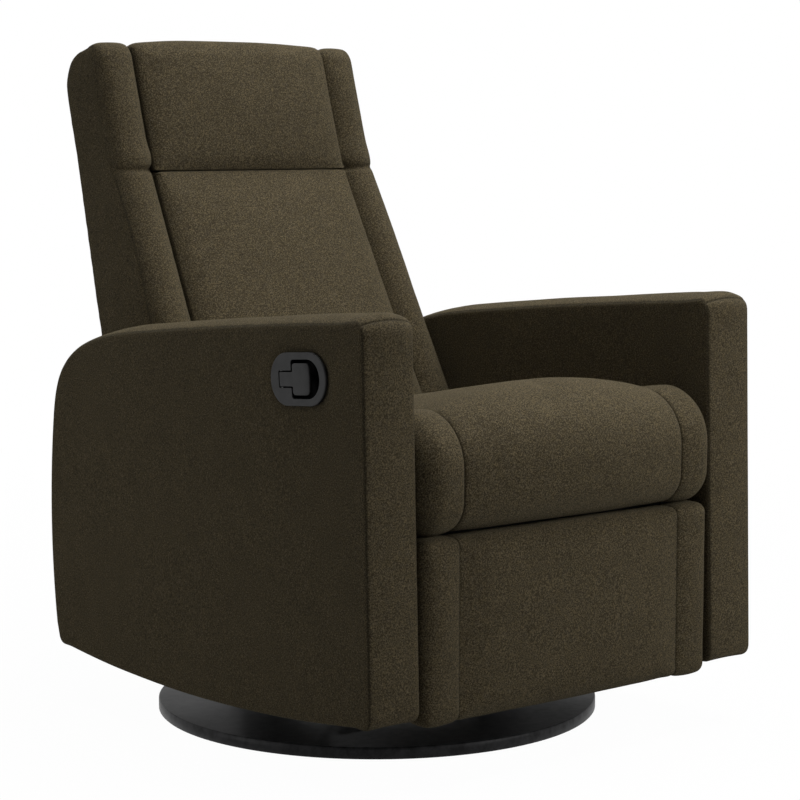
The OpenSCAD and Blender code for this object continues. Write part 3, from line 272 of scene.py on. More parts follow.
def rolled(distance, seam_share):
    """How far cloth lies under its flat near an edge: a tight roll at a seam, else a plain fold."""
    left = 1 - np.minimum(distance / seam_roll, 1)
    return seam_share * (1 - np.sqrt(1 - left ** 2)) + (1 - seam_share) * left ** 2


def ripple(places, size, seed=0.0):
    """Smooth random values from -1 to 1, one for each place, on waves of about that size."""
    shift = Vector((seed, 2.7 * seed, -1.3 * seed))
    return np.array([noise.noise(Vector(p) / size + shift) for p in places])


def outward(loop):
    """Directions out from a closed outline, at each of its places."""
    ahead = np.roll(loop, -1, 0) - np.roll(loop, 1, 0)
    out = np.column_stack([-ahead[:, 1], ahead[:, 0]])
    return out / np.linalg.norm(out, axis=1)[:, None]


def stitch_near(distance):
    """How near a stitch line a place is, 0 to 1, from its distance."""
    return np.exp(-(distance / seam_line) ** 2)


def gathered(distance):
    """How strongly the cloth puckers at a distance from its stitches."""
    return np.exp(-distance / pucker_reach) * np.minimum(distance / pucker_in, 1)


def grid_rim(wide, tall):
    """The rim of a grid of places, all the way round."""
    return np.array([*range(tall)] + [i * tall + tall - 1 for i in range(1, wide)]
                    + [(wide - 1) * tall + j for j in range(tall - 2, -1, -1)]
                    + [i * tall for i in range(wide - 2, 0, -1)])


def grid_faces(wide, tall):
    """The faces of a grid of places, and of a second grid that looks the other way."""
    faces = [(i * tall + j, (i + 1) * tall + j, (i + 1) * tall + j + 1, i * tall + j + 1)
             for i in range(wide - 1) for j in range(tall - 1)]
    return faces + [tuple(wide * tall + k for k in face[::-1]) for face in faces]


def piece_from(name, work, smooth=True):
    """A piece from its finished faces, turned outward."""
    bmesh.ops.recalc_face_normals(work, faces=work.faces)
    mesh = bpy.data.meshes.new(name)
    work.to_mesh(mesh)
    work.free()
    mesh.polygons.foreach_set("use_smooth", [smooth] * len(mesh.polygons))
    piece = bpy.data.objects.new(name, mesh)
    scene.collection.objects.link(piece)
    return piece


def mark_seam(mesh, seam):
    """Keeps how near a stitch line each place is, 0 to 1. The cloth's colour is darkened by it, as painted
    seam shade.
    """
    mesh.attributes.new("seam", "FLOAT", "POINT").data.foreach_set("value", seam)


def cloth_mesh(name, places, faces, seam=None):
    """A smooth closed piece of sewn cloth."""
    drawn = bpy.data.meshes.new(name)
    drawn.from_pydata([tuple(p) for p in places], [], [tuple(f) for f in faces])
    work = bmesh.new()
    work.from_mesh(drawn)
    bpy.data.meshes.remove(drawn)
    piece = piece_from(name, work)
    if seam is not None:
        mark_seam(piece.data, seam)
    return piece


top_slope = math.atan2(arm_rear_top_z - arm_top_z, arm_back + arm_front - arm_front_lean)
top_angle = math.degrees(top_slope)
front_slope = math.atan2(arm_top_z - arm_foot_z, arm_front_lean)
front_angle = math.degrees(front_slope)
arm_foot = np.array([-arm_front, arm_foot_z])
arm_nose = np.array([-arm_front + arm_front_lean, arm_top_z])
arm_heel = np.array([arm_back, arm_heel_z])
foot_middle = arm_foot + (arm_foot_r, arm_foot_r)
nose_middle = arm_nose + (arm_nose_r, -arm_nose_r)
arm_bend_corner = arm_bend_from + arm_bend_reach * np.array([1, -0.12])
arm_bend_second = arm_bend_to + arm_bend_rise * np.array([-0.12, 1])
heel_middle = arm_heel + (-arm_foot_r, arm_foot_r)
# The four sides of an arm as seen from +X, from its lower front corner round to that corner
arm_front_side = np.concatenate([
    rounded(foot_middle, arm_foot_r, 225, front_angle + 90, 6),
    rounded(nose_middle, arm_nose_r, front_angle + 90, 134, 5)])
arm_top_side = np.concatenate([
    rounded(nose_middle, arm_nose_r, 134, top_angle + 90, 5),
    bowed(arm_nose + (3 * arm_nose_r, 3 * arm_nose_r * math.tan(top_slope)), arm_bend_from, 40, arm_top_bow),
    bent(arm_bend_from, arm_bend_corner, arm_bend_to, 0.04, 0.60, 14, arm_bend_second)])
arm_rear_side = np.concatenate([
    bent(arm_bend_from, arm_bend_corner, arm_bend_to, 0.60, 0.97, 9, arm_bend_second),
    bowed(arm_bend_to, arm_heel + (arm_rear_bow / 3, 2 * arm_foot_r), 24, 0.7 * arm_rear_bow),
    rounded(heel_middle, arm_foot_r, -10, -45, 5)])
arm_low_side = np.concatenate([
    rounded(heel_middle, arm_foot_r, -45, -84, 5),
    bowed(arm_heel - (2 * arm_foot_r, 0), arm_foot + (2 * arm_foot_r, 0.001), 40, arm_belly),
    rounded(foot_middle, arm_foot_r, 262, 225, 5)])


def arm_cover(name, side):
    """The sewn cover of one arm. side is 1 at +X and -1 at -X."""
    arm_t = arm_out - arm_in
    long_u = rows_between_seams(lengths_along(arm_top_side)[-1])
    long_v = rows_between_seams(lengths_along(arm_front_side)[-1])
    patch = filled(part_way(arm_low_side, 1 - long_u), part_way(arm_top_side, long_u),
                   part_way(arm_front_side, long_v), part_way(arm_rear_side, 1 - long_v), long_u, long_v)
    wide, tall = patch.shape[:2]
    flat = patch.reshape(-1, 2)
    # The rim runs up the front, along the top, down the back and forward under the arm
    rim = grid_rim(wide, tall)
    edge = flat[rim]
    closed = np.vstack([edge, edge[:1]])
    far = lengths_along(closed)
    loop_length, far = far[-1], far[:-1]
    nose, rear, heel = far[tall - 1], far[tall + wide - 2], far[2 * tall + wide - 3]
    # How high the strip stands over its seams, and how much of a seam shows, round the rim
    crown = np.interp(far, [0, 0.06, nose - 0.05, nose, nose + 0.06, nose + 0.25,
                            rear - 0.22, rear + 0.06, heel - 0.05, heel, loop_length],
                      np.array([0.2, 0.42, 0.46, 0.95, 1.2, 1, 1, 0.4, 0.3, 0.1, 0.05]) * arm_crown)
    sewn = np.interp(far, [0, 0.03, rear - 0.16, rear + 0.05, heel - 0.05, heel,
                           loop_length - 0.02, loop_length], [0.8, 1, 1, 0.45, 0.35, 0, 0, 0.8])
    nearest = kdtree.KDTree(rim_steps)
    for k, place in enumerate(part_way(closed, np.arange(rim_steps) / rim_steps)):
        nearest.insert((*place, 0), k)
    nearest.balance()
    found = [nearest.find((*place, 0)) for place in flat]
    inward = np.array([f[2] for f in found])
    inward[rim] = 0
    where = np.array([f[1] for f in found]) / rim_steps * loop_length
    seam_here = np.interp(where, far, sewn)

    def puckers(distance, share, along, seed):
        """How far the cloth beside a seam ripples up, along the seam."""
        wave = ripple(np.column_stack([along, along * 0 + seed, along * 0]), 0.013)
        return pucker_height * wave * gathered(distance) * share

    def panel(x, way, seed):
        """One flat panel, rolled into the seams round its rim, with slight waves in its cloth."""
        depth = seam_sink * (1 - rolled(inward, seam_here)) + puckers(inward, seam_here, where, seed)
        spread_out = np.column_stack([flat, np.full(len(flat), seed)])
        waves = panel_wave * ripple(spread_out, 0.16, seed) + panel_ripple * ripple(spread_out, 0.05, seed)
        depth += waves * (1 - np.exp(-inward / 0.03))
        return np.column_stack([x - way * panel_inset + way * depth, flat])

    out = outward(edge)
    to_nose = np.abs(far - nose)
    rings, ring_seams = [], []
    for t in rows_between_seams(arm_t)[1:-1]:
        from_seam = min(t, 1 - t) * arm_t
        lift = seam_sink * (1 - rolled(from_seam, sewn))
        lift = lift + (crown - seam_sink) * (1 - abs(2 * t - 1) ** 2.2)
        lift -= nose_sink * rolled(to_nose, 1.0)
        lift += puckers(from_seam, sewn, far, 3 + 2 * round(t))
        lift += puckers(to_nose, (to_nose < 0.04), np.full(len(far), from_seam + 0.002) + t, 9)
        ring = np.column_stack([np.full(len(edge), arm_in + panel_inset + (arm_t - 2 * panel_inset) * t),
                                edge + out * lift[:, None]])
        soft = strip_wave * ripple(ring, 0.12, 5 + side)
        ring[:, 1:] += out * (soft * (1 - rolled(from_seam, 1.0)))[:, None]
        rings.append(ring)
        ring_seams.append(np.maximum(stitch_near(from_seam) * sewn, stitch_near(to_nose)))
    places = np.vstack([panel(arm_out, 1, 1 + side), panel(arm_in, -1, 6 + side), *rings])
    places[:, 0] *= side
    panel_seam = stitch_near(inward) * seam_here
    count, loop = len(flat), len(rim)
    rows = [count + rim] + [2 * count + r * loop + np.arange(loop) for r in range(len(rings))] + [rim]
    faces = grid_faces(wide, tall)
    for low, high in zip(rows, rows[1:]):
        faces += list(zip(low, np.roll(low, -1), np.roll(high, -1), high))
    return cloth_mesh(name, places, faces, np.concatenate([panel_seam, panel_seam, *ring_seams]))


def shader_group(name, inputs, outputs):
    """A shared shader effect, with the sockets that bring its inputs and take its outputs."""
    group = bpy.data.node_groups.new(name, "ShaderNodeTree")
    for socket, kind, value in inputs:
        made = group.interface.new_socket(name=socket, in_out="INPUT", socket_type="NodeSocket" + kind)
        if value is not None:
            made.default_value = value
    for socket, kind in outputs:
        group.interface.new_socket(name=socket, in_out="OUTPUT", socket_type="NodeSocket" + kind)
    shading = Shading(group)
    given, gives = (group.nodes.new("NodeGroup" + end) for end in ("Input", "Output"))
    return shading, given.outputs, gives.inputs


# Heathered yarn: short fibres of three dyes spun together, in an even plain weave that felts over
black = (0, 0, 0, 1)
heather, given, gives = shader_group(
    "heathered yarn",
    [("Vector", "Vector", None), ("Dark", "Color", black), ("Middle", "Color", black),
     ("Light", "Color", black), ("Fleck Scale", "Float", 400.0), ("Thread Scale", "Float", 4000.0)],
    [("Color", "Color"), ("Height", "Float")])
where = given["Vector"]
fleck = heather.noise(where, given["Fleck Scale"], 3.0, 0.70)
fibre = heather.noise(where, heather.times(given["Fleck Scale"], 2.6), 1.0)
blended = heather.plus(heather.times(fleck, 0.72), heather.times(fibre, 0.28))
yarn = heather.mix(heather.between(blended, 0.50, 0.40), given["Middle"], given["Dark"])
yarn = heather.mix(heather.between(blended, 0.51, 0.62), yarn, given["Light"])
# Carding leaves lighter and darker blotches, and small warmer and cooler ones
tone = heather.between(heather.noise(where, 22.0, 3.0, 0.6), 0.25, 0.75, 0.90, 1.10)
carded = heather.noise(where, 150.0, 2.0, 0.6)
red, green, blue = (heather.times(tone, heather.between(carded, 0.30, 0.70, low, high))
                    for low, high in ((0.93, 1.07), (0.95, 1.05), (1.03, 0.97)))
tone_colour = heather.add("CombineColor", {0: red, 1: green, 2: blue}).outputs[0]
yarn = heather.mix(1.0, yarn, tone_colour, "MULTIPLY")
# The weave's threads wander a little
drift = heather.add("TexNoise", {"Vector": where, "Scale": 90.0, "Detail": 1.0}).outputs[1]
threads = heather.add("VectorMath", {0: where, 1: drift}, operation="MULTIPLY_ADD").outputs[0]
waves = [heather.math("SINE", heather.times(axis, given["Thread Scale"]))
         for axis in heather.add("SeparateXYZ", {0: threads}).outputs[:3]]
weave = heather.plus(heather.times(waves[0], waves[1]), heather.plus(
    heather.times(waves[1], waves[2]), heather.times(waves[2], waves[0])))
heather.tree.links.new(yarn, gives["Color"])
heather.tree.links.new(heather.plus(heather.times(weave, 0.16), blended), gives["Height"])

# Wear: cloth or paint a little lighter where a sharp edge is rubbed
wear, given, gives = shader_group(
    "rubbed edges", [("Color", "Color", black), ("Rubbed", "Color", white),
                     ("Amount", "Float", 0.2), ("Vector", "Vector", None)], [("Color", "Color")])
sharp = wear.between(wear.add("NewGeometry").outputs["Pointiness"], 0.51, 0.56)
patchy = wear.between(wear.noise(given["Vector"], 60.0, 3.0, 0.6), 0.35, 0.65)
worn = wear.times(wear.times(sharp, patchy), given["Amount"])
wear.tree.links.new(wear.mix(worn, given["Color"], given["Rubbed"]), gives["Color"])


class Finish(Shading):
    """A material with its shader, and steps that build its detail."""

    def __init__(self, name, sockets):
        self.made = bpy.data.materials.new(name)
        self.made.use_nodes = True
        super().__init__(self.made.node_tree)
        self.shader = self.add("BsdfPrincipled", sockets)
        self.add("OutputMaterial", {"Surface": self.shader.outputs[0]})
        self.place = self.add("TexCoord").outputs["Object"]

    def grain(self, scale, detail=2.0, roughness=0.5):
        """Smooth random values over the piece."""
        return self.noise(self.place, scale, detail, roughness)

    def streaks(self, stretch, scale):
        """Values in long streaks, for wood fibres and brushed steel."""
        mapped = self.add("Mapping", {"Vector": self.place, "Scale": stretch}).outputs[0]
        return self.noise(mapped, scale, 4.0, 0.6)

    def rubbed(self, colour, rubbed, amount):
        """A colour that shows another one where it is rubbed."""
        return self.add("Group", {"Color": colour, "Rubbed": rubbed, "Amount": amount, "Vector": self.place},
                        node_tree=wear.tree).outputs["Color"]

    def done(self, colour, roughness, relief, strength, distance):
        """Gives the shader its colour, roughness and fine relief. Returns the material."""
        bump = self.add("Bump", {"Height": relief, "Strength": strength, "Distance": distance})
        self.feed(self.shader, {"Base Color": colour, "Roughness": roughness, "Normal": bump.outputs[0]})
        return self.made


# Olive heathered wool. Along its stitch lines, and round the lever's bezel, the colour is darkened toward
# near black: painted shade in the seams and under the bezel's rim
olive, dark_olive = (0.061, 0.0475, 0.0262, 1), (0.0195, 0.0152, 0.0082, 1)
light_olive = (0.160, 0.128, 0.076, 1)
# Near black, painted into the seams as shade
painted_seam_shade = (0.008, 0.007, 0.005, 1)
cloth = Finish("olive wool cloth", {
    "Roughness": 0.92, "Specular IOR Level": 0.05, "Sheen Weight": 0.10, "Sheen Roughness": 0.6,
    "Sheen Tint": (0.68, 0.62, 0.44, 1)})
yarns = cloth.add("Group", {
    "Vector": cloth.place, "Dark": dark_olive, "Middle": olive, "Light": light_olive,
    "Fleck Scale": 500.0, "Thread Scale": 4200.0}, node_tree=heather.tree).outputs
stitched = cloth.add("Attribute", attribute_name="seam").outputs["Fac"]
seam_shaded = cloth.mix(cloth.times(stitched, 0.55), yarns["Color"], painted_seam_shade)
wool = cloth.done(
    cloth.rubbed(seam_shaded, light_olive, 0.25), cloth.between(yarns["Height"], 0.2, 0.8, 0.85, 0.97),
    yarns["Height"], 0.55, 0.0012)


def dressed(piece, nodes, body):
    """Covers a pad in wool and puts it on its body."""
    piece.data.materials.append(wool)
    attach(piece, body)
    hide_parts(*nodes)


hands = ((1, "right"), (-1, "left"))
for side, hand in hands:
    dressed(arm_cover("arm_cover_cloth_" + hand, side), ["arm_cover_" + hand], "chair")


# Seat cushion
# One foam block under a sewn cover: a crowned middle panel that rolls over the front, and a
# rounded bolster at each side, joined by a deep channel. It lies on the webbing.
seat_half, seat_seam = 0.2893, 0.2155
seat_base_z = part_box("seat_cushion")[0].z - 0.0025
seat_front, seat_edge_z, seat_back, seat_back_z, seat_back_slope = 0.468, 0.530, 0.101, 0.452, 0.048
seat_nose_r, seat_chin_r, seat_side_r = 0.080, 0.052, 0.038
seat_crown, seat_bulge, seat_channel = 0.028, 0.012, 0.0038
pad_step = 0.012


def drawn_ring(loop, puff, x, inset, flare=None):
    """A side profile at side place x, drawn in by an inset and let out by its puff."""
    places = loop + outward(loop) * (puff - inset)[:, None]
    side = x if flare is None else x + np.sign(x) * flare(loop[:, 1])
    return np.column_stack([np.broadcast_to(side, len(loop)), places])


class SewnPad:
    """A closed pad: a face and a back of as many rows, at stations from side to side."""

    def __init__(self, name, face, back, stations, flare=None, setback=0.0):
        self.rows = len(face)
        loop = np.concatenate([face[:, :2], back[::-1]])
        puffs = np.concatenate([face[:, 2], np.zeros(len(back))])
        turned_back = np.concatenate([np.broadcast_to(setback, len(face)), np.zeros(len(back))])
        rings = [drawn_ring(loop, puffs * share + lift, x, inset + turned_back * sum(turn), flare)
                 for x, inset, share, lift, *turn in stations]
        ring_n = len(loop)
        faces = [(i * ring_n + k, i * ring_n + (k + 1) % ring_n, (i + 1) * ring_n + (k + 1) % ring_n,
                  (i + 1) * ring_n + k) for i in range(len(rings) - 1) for k in range(ring_n)]
        for i in (0, len(rings) - 1):
            first, last = i * ring_n, i * ring_n + ring_n - 1
            faces += [(first + k, first + k + 1, last - 1 - k, last - k) for k in range(self.rows - 1)]
        self.ring_n, self.ring_count = ring_n, len(rings)
        self.piece = cloth_mesh(name, np.vstack(rings), faces)
        self.stations = np.array([s[0] for s in stations])

    def held(self, sewn=()):
        """Rows that the back, the ends and the seams hold still."""
        index = np.arange(self.ring_count * self.ring_n).reshape(self.ring_count, self.ring_n)
        still = np.zeros(index.shape, bool)
        still[:, self.rows - 1:] = True
        still[:, 0] = True
        still[[0, -1]] = True
        for x in sewn:
            still[np.argmin(np.abs(self.stations - x)), :] = True
        return index[still]


def places_of(mesh):
    """A mesh's places as an array."""
    return np.array([v.co for v in mesh.vertices])


def evaluated(piece):
    """A piece with its modifiers worked out."""
    return piece.evaluated_get(bpy.context.evaluated_depsgraph_get())


def inflate(piece, held, most):
    """Lets the cloth swell against its stitches for a moment, and keeps the shape that it takes."""
    last_frame = 20
    group = piece.vertex_groups.new(name="held")
    group.add([int(k) for k in held], 1.0, "REPLACE")
    stuffing = piece.modifiers.new("stuffing", "CLOTH")
    for name, value in (("quality", 5), ("mass", 0.3), ("tension_stiffness", 20),
                        ("compression_stiffness", 12), ("shear_stiffness", 8), ("bending_stiffness", 0.8),
                        ("use_pressure", True), ("uniform_pressure_force", 4), ("vertex_group_mass", "held")):
        setattr(stuffing.settings, name, value)
    stuffing.settings.effector_weights.gravity = 0
    stuffing.collision_settings.use_collision = False
    stuffing.point_cache.frame_start = 1
    stuffing.point_cache.frame_end = last_frame
    for frame_number in range(1, last_frame + 1):
        scene.frame_set(frame_number)
    after = places_of(evaluated(piece).data)
    piece.modifiers.remove(stuffing)
    piece.vertex_groups.remove(group)
    scene.frame_set(1)
    before = places_of(piece.data)
    move = after - before
    size = np.linalg.norm(move, axis=1)
    move *= np.minimum(1, most / np.maximum(size, 1e-9))[:, None]
    piece.data.vertices.foreach_set("co", (before + move).ravel())


def smoothed(piece, seam_x=None):
    """One subdivision. Stitch lines at a side place stay sharp."""
    mesh = piece.data
    stitched = [seam_x is not None and abs(abs(v.co.x) - seam_x) < 1e-4 for v in mesh.vertices]
    sharp = [float(stitched[e.vertices[0]] and stitched[e.vertices[1]]) for e in mesh.edges]
    mesh.attributes.new("crease_edge", "FLOAT", "EDGE").data.foreach_set("value", sharp)
    finer = piece.modifiers.new("finer", "SUBSURF")
    finer.levels = finer.render_levels = 1
    result = bpy.data.meshes.new_from_object(evaluated(piece))
    piece.modifiers.remove(finer)
    piece.data = result
    bpy.data.meshes.remove(mesh)
    result.attributes.remove(result.attributes["crease_edge"])


def worked(piece, seam_distance, seed, fold=None):
    """Marks the stitch lines, gathers the cloth beside them and gives it slight waves and folds."""
    mesh = piece.data
    waves = 0.0008
    places = places_of(mesh)
    normals = np.array([v.normal for v in mesh.vertices])
    distance = seam_distance(places)
    lift = pucker_height * gathered(distance) * ripple(places, 0.012, seed) * 1.2
    lift += waves * ripple(places, 0.11, seed + 3) * np.minimum(distance / 0.05, 1)
    lift += waves * 0.3 * ripple(places, 0.04, seed + 5) * np.minimum(distance / 0.02, 1)
    if fold is not None:
        lift += fold(places, normals)
    mesh.vertices.foreach_set("co", (places + normals * lift[:, None]).ravel())
    mark_seam(mesh, stitch_near(distance))


def sunk(from_seam, depth, roll=0.010):
    """How deep cloth lies at a distance from a seam that it rolls down into."""
    left = 1 - min(from_seam / roll, 1)
    return depth * (1 - math.sqrt(1 - left ** 2))


def across_panel(half, seam_depth, roll=0.010):
    """Stations from the middle of a crowned panel out to the seam at its side."""
    rows = list(np.linspace(0, half - 0.012, round((half - 0.012) / pad_step) + 1)[1:])
    rows += [half - d for d in (0.008, 0.005, 0.0025, 0.001)]
    return [(x, sunk(half - x, seam_depth, roll), 1 - (x / half) ** 2.6, 0.0) for x in rows]


def both_sides(right):
    """The same stations on both sides of the middle."""
    return [(-x, *rest) for x, *rest in right[::-1]] + [(0.0, 0.0, 1.0, 0.0)] + right


def bolster(seam, half, side_r, seam_depth, crown):
    """Stations from a seam out over a rounded side."""
    flat_end = half - side_r
    xs = [seam + d for d in (0.001, 0.0025, 0.005, 0.008, 0.012)]
    flat_rows = max(2, round((flat_end - seam - 0.012) / pad_step) + 1)
    xs += list(np.linspace(seam + 0.012, flat_end, flat_rows)[1:])
    made = [(x, sunk(x - seam, seam_depth)) for x in xs]
    made += [(flat_end + side_r * math.sin(a), side_r * (1 - math.cos(a)))
             for a in np.radians(np.linspace(12, 90, 8))]
    return [(seam, seam_depth, 0.0, 0.0)] + [
        (x, inset, 0.0, crown * math.sin(math.pi * ((x - seam) / (half - seam)))) for x, inset in made]


def seat_profile(start_share):
    """The seat's side profile: its face with puff, and its flat underside."""
    chin = np.array([-seat_front + seat_chin_r, seat_base_z + seat_chin_r])
    nose = np.array([-seat_front + seat_nose_r, seat_edge_z - seat_nose_r])
    rear_top = np.array([seat_back, seat_back_z])
    front = rounded(chin, seat_chin_r, 266, 186, 9)
    over = rounded(nose, seat_nose_r, 180, 96, 13)
    top = bowed(over[-1] + (0.010, -0.001), rear_top - (0.015, -0.002), 38)
    rear = np.array([rear_top + (-0.004, -0.004), rear_top - (0, 0.015)])
    swell = np.concatenate([
        np.linspace(0.0, seat_bulge, len(front)), np.linspace(seat_bulge, seat_crown, len(over)),
        np.linspace(seat_crown, seat_crown * 0.55, len(top)), [seat_crown * 0.35, 0.0]])
    face = np.column_stack([np.concatenate([front, over, top, rear]), swell * start_share])
    rear_low = seat_back - seat_back_slope
    shares = np.linspace(0, 1, len(face)) ** 1.3
    back = np.column_stack([chin[0] + (rear_low - chin[0]) * shares, np.full(len(face), seat_base_z)])
    return face, back


# Where the cloth is still to swell, the pads start a little flatter
seat = SewnPad("seat_cushion_cloth", *seat_profile(0.97), both_sides(
    across_panel(seat_seam, seat_channel) + bolster(seat_seam, seat_half, seat_side_r, seat_channel, 0.004)))
inflate(seat.piece, seat.held((-seat_seam, seat_seam)), most=0.005)
smoothed(seat.piece, seat_seam)
worked(seat.piece, lambda p: np.abs(np.abs(p[:, 0]) - seat_seam), seed=11.0)
dressed(seat.piece, ["seat_cushion"], "chair")


# Back
# A lumbar panel, a headrest that bulges over it, and a narrow wing at each side, sewn together
# over foam and webbing. The side covers and the outside back close the rear.
back_y, back_z, back_lean = 0.128, 0.470, math.radians(27.7)
head_seam_z, head_lean, head_top_z = 0.854, math.radians(16.6), 1.063
rear_y, rear_z, rear_lean = 0.388, 0.599, math.radians(14.6)
rear_top_z, rear_top_r = 0.979, 0.058
head_crown, head_round_r, rear_puff = 0.0075, 0.022, 0.004
wing_half, panel_half, flare_z, flare_share = 0.263, 0.196, 0.880, 0.038
cover_t, frame_depth, back_channel, lumbar_channel = 0.009, 0.072, 0.009, 0.006
lumbar_puff, head_puff, wing_puff = 0.018, 0.014, 0.012
back_low_z, wing_low_z, post_low_z = 0.376, 0.402, 0.302
rear_bow_z = [0.598, 0.665, 0.732, 0.799, 0.866, 0.940]
rear_bow = [0, 0.0034, 0.0061, 0.0082, 0.0103, 0.0112]
# The line over the top of the back, from its front edge to the seam of the outside back
top_line_y, top_line_z = [0.398, 0.412, 0.421, 0.430, 0.438], [1.0628, 1.0619, 1.0597, 1.0562, 1.0525]
top_seam_angle = 96
corner_from_z, corner_reach, corner_in = 1.035, 0.030, 0.004


def front_at(z):
    """How far back the front of the back lies at a height."""
    seam_y = back_y + (head_seam_z - back_z) * math.tan(back_lean)
    return np.where(z < head_seam_z, back_y + (z - back_z) * math.tan(back_lean),
                    seam_y + (z - head_seam_z) * math.tan(head_lean))


def rear_at(z):
    """How far back the rear face lies at a height."""
    return rear_y + (z - rear_z) * math.tan(rear_lean)


def outer_rear_at(z):
    """How far back the outside of the rear lies, which swells toward the top."""
    return rear_at(z) + np.interp(z, rear_bow_z, rear_bow)


def back_flare(z):
    """How much farther out the back's seams lie at a height, because it widens downward."""
    return flare_share * np.maximum(0, flare_z - z)


rear_corner = np.array([outer_rear_at(rear_top_z) - rear_top_r * math.cos(rear_lean),
                        rear_top_z + rear_top_r * math.sin(rear_lean)])
top_seam_y = rear_corner[0] + rear_top_r * math.cos(math.radians(top_seam_angle))


def up_front(low, high):
    """Heights up the front of the back."""
    return np.linspace(low, high, round((high - low) / pad_step) + 1)


def up_frame(low, high, count):
    """Places up the front of the frame, where the foam ends."""
    z = np.linspace(low, high, count)
    return np.column_stack([rear_at(z) - frame_depth - 0.0003, z])


def over_top(low, shift, puff, lift, crown, fine_at, start=0.0):
    """Face of a piece that runs up the back and turns over its top. Its rows are fine at a height."""
    z = np.concatenate([up_front(low, head_top_z - head_round_r - 0.004),
                        fine_at + np.array([-0.009, -0.004, 0, 0.0017, 0.004, 0.0085, 0.015])])
    z = np.unique(z[z >= low])
    z = z[np.concatenate([[True], np.diff(z) > 0.0014])]
    front = np.column_stack([front_at(z) + shift, z])
    top_y = np.linspace(front_at(head_top_z) + shift + 0.8 * head_round_r, top_seam_y - 0.003, 5)
    top = np.column_stack([top_y, np.interp(top_y, top_line_y, top_line_z) + lift])
    corner = np.array([front_at(top[0, 1]) + shift, top[0, 1] + 0.0005])
    turn = bent(front[-1], corner, top[0], 0.12, 0.9, 8)
    last = np.array([[top_seam_y - 0.0003, top[-1, 1] - 0.003 - lift]])
    up = np.interp(front[:, 1], [low, front[-1, 1]], [0, 0.85])
    rise = np.maximum(puff * np.sin(np.pi * up) ** 0.47, start)
    swell = np.concatenate([rise, np.linspace(rise[-1], crown, len(turn)), np.full(len(top), crown), [0.0]])
    return np.column_stack([np.concatenate([front, turn, top, last]), swell])


def under_top(low, count):
    """Back of such a piece, up the frame and under the top."""
    turn_z = rear_top_z + cover_t
    up = round(count * 0.75)
    rise = up_frame(low, turn_z, up)
    end = np.array([top_seam_y - 0.003, turn_z + 0.001])
    return np.concatenate([rise, bowed(rise[-1], end, count - up)[1:]])


def turned_in(half, depth, over, deeper):
    """Last stations of a panel, where its side turns in to the channel."""
    return [(half, depth, 0.0, 0.0), (half + over, depth + deeper, 0.0, 0.0)]


def narrowed(piece):
    """Draws the sides of the back in toward its rounded top corners."""
    places = places_of(piece.data)
    out = np.abs(places[:, 0])
    up = np.clip((places[:, 2] - corner_from_z) / corner_reach, 0, 1.1)
    share = 1 - corner_in / (wing_half - panel_half) * up ** 2
    places[:, 0] = np.sign(places[:, 0]) * np.where(
        out > panel_half, panel_half + (out - panel_half) * share, out)
    piece.data.vertices.foreach_set("co", places.ravel())


def finish_pad(pad, nodes, distance, most, seed, held=(), body="back", fold=None, narrow=False):
    """Swells, smooths and dresses a pad."""
    inflate(pad.piece, pad.held(held), most)
    smoothed(pad.piece)
    worked(pad.piece, distance, seed, fold)
    if narrow:
        narrowed(pad.piece)
    dressed(pad.piece, nodes, body)


def flared_edge(places, half):
    """Distance from the seam at a panel's side, which follows the back's flare."""
    return np.abs(np.abs(places[:, 0]) - half - back_flare(places[:, 2]))


def panel_lines(places):
    """Distance from the stitches round the lumbar panel and the headrest."""
    return np.minimum(flared_edge(places, panel_half), 1.3 * np.abs(places[:, 2] - head_seam_z))


full = 0.94
lumbar_z = np.concatenate([up_front(back_low_z, head_seam_z - 0.0001)[:-1],
                           head_seam_z - np.array([0.0075, 0.0040, 0.0018, 0.0001])])
lumbar_up = (lumbar_z - back_low_z) / (head_seam_z - back_low_z)
lumbar_swell = lumbar_puff * full * np.sin(np.pi * np.minimum(lumbar_up, 1)) ** 0.5
lumbar_swell = np.maximum(lumbar_swell, 0.0018 * lumbar_up)
lumbar_swell[-4:] = (0.0050, 0.0038, 0.0024, 0.0006)
lumbar_face = np.column_stack([front_at(lumbar_z), lumbar_z, lumbar_swell])
lumbar_under = up_frame(post_low_z + 0.018, head_seam_z - 0.0003, len(lumbar_face))
lumbar = SewnPad("lumbar_cloth", lumbar_face, lumbar_under, both_sides(
    across_panel(panel_half, lumbar_channel, roll=0.020)
    + turned_in(panel_half, lumbar_channel, 0.0002, 0.004)), back_flare)
finish_pad(lumbar, ["lumbar_cushion"], panel_lines, most=0.004, seed=21.0)

head_face = over_top(head_seam_z + 0.0001, 0.0, head_puff * full, 0.0035, head_crown, head_seam_z, 0.0006)
head_under = under_top(head_seam_z + 0.0001, len(head_face))
headrest = SewnPad("headrest_cloth", head_face, head_under, both_sides(
    across_panel(panel_half, back_channel, roll=0.020) + turned_in(panel_half, back_channel, 0.0002, 0.004)))
finish_pad(headrest, ["headrest_cushion"], panel_lines, most=0.0022, seed=31.0)

# Each wing wraps round the back's edge to a seam on its side, a little way behind the front
crease_z = 0.857
wing_edge_r = 0.013
crease_deep, crease_fade, bulge_high, bulge_fade = 0.0060, 0.0042, 0.0036, 0.0020
wing_face = over_top(wing_low_z, back_channel, wing_puff * full, 0.0022, 0.0020, crease_z)
wing_seam_z = [wing_low_z, 0.60, 0.65, 0.70, 0.755, 0.80, 0.86, 0.90, 1.00, 1.04]
wing_seam_depth = [0.021, 0.021, 0.017, 0.011, 0.008, 0.010, 0.016, 0.018, 0.018, 0.015]
on_top = np.clip((wing_face[:, 0] - front_at(head_top_z) - 0.002) / 0.030, 0, 1)
wing_setback = np.interp(wing_face[:, 1], wing_seam_z, wing_seam_depth) * (1 - on_top) + 0.0025 * on_top
wing_under = under_top(wing_low_z, len(wing_face))
wing_loop = np.concatenate([wing_face[:, :2], wing_under[::-1]])
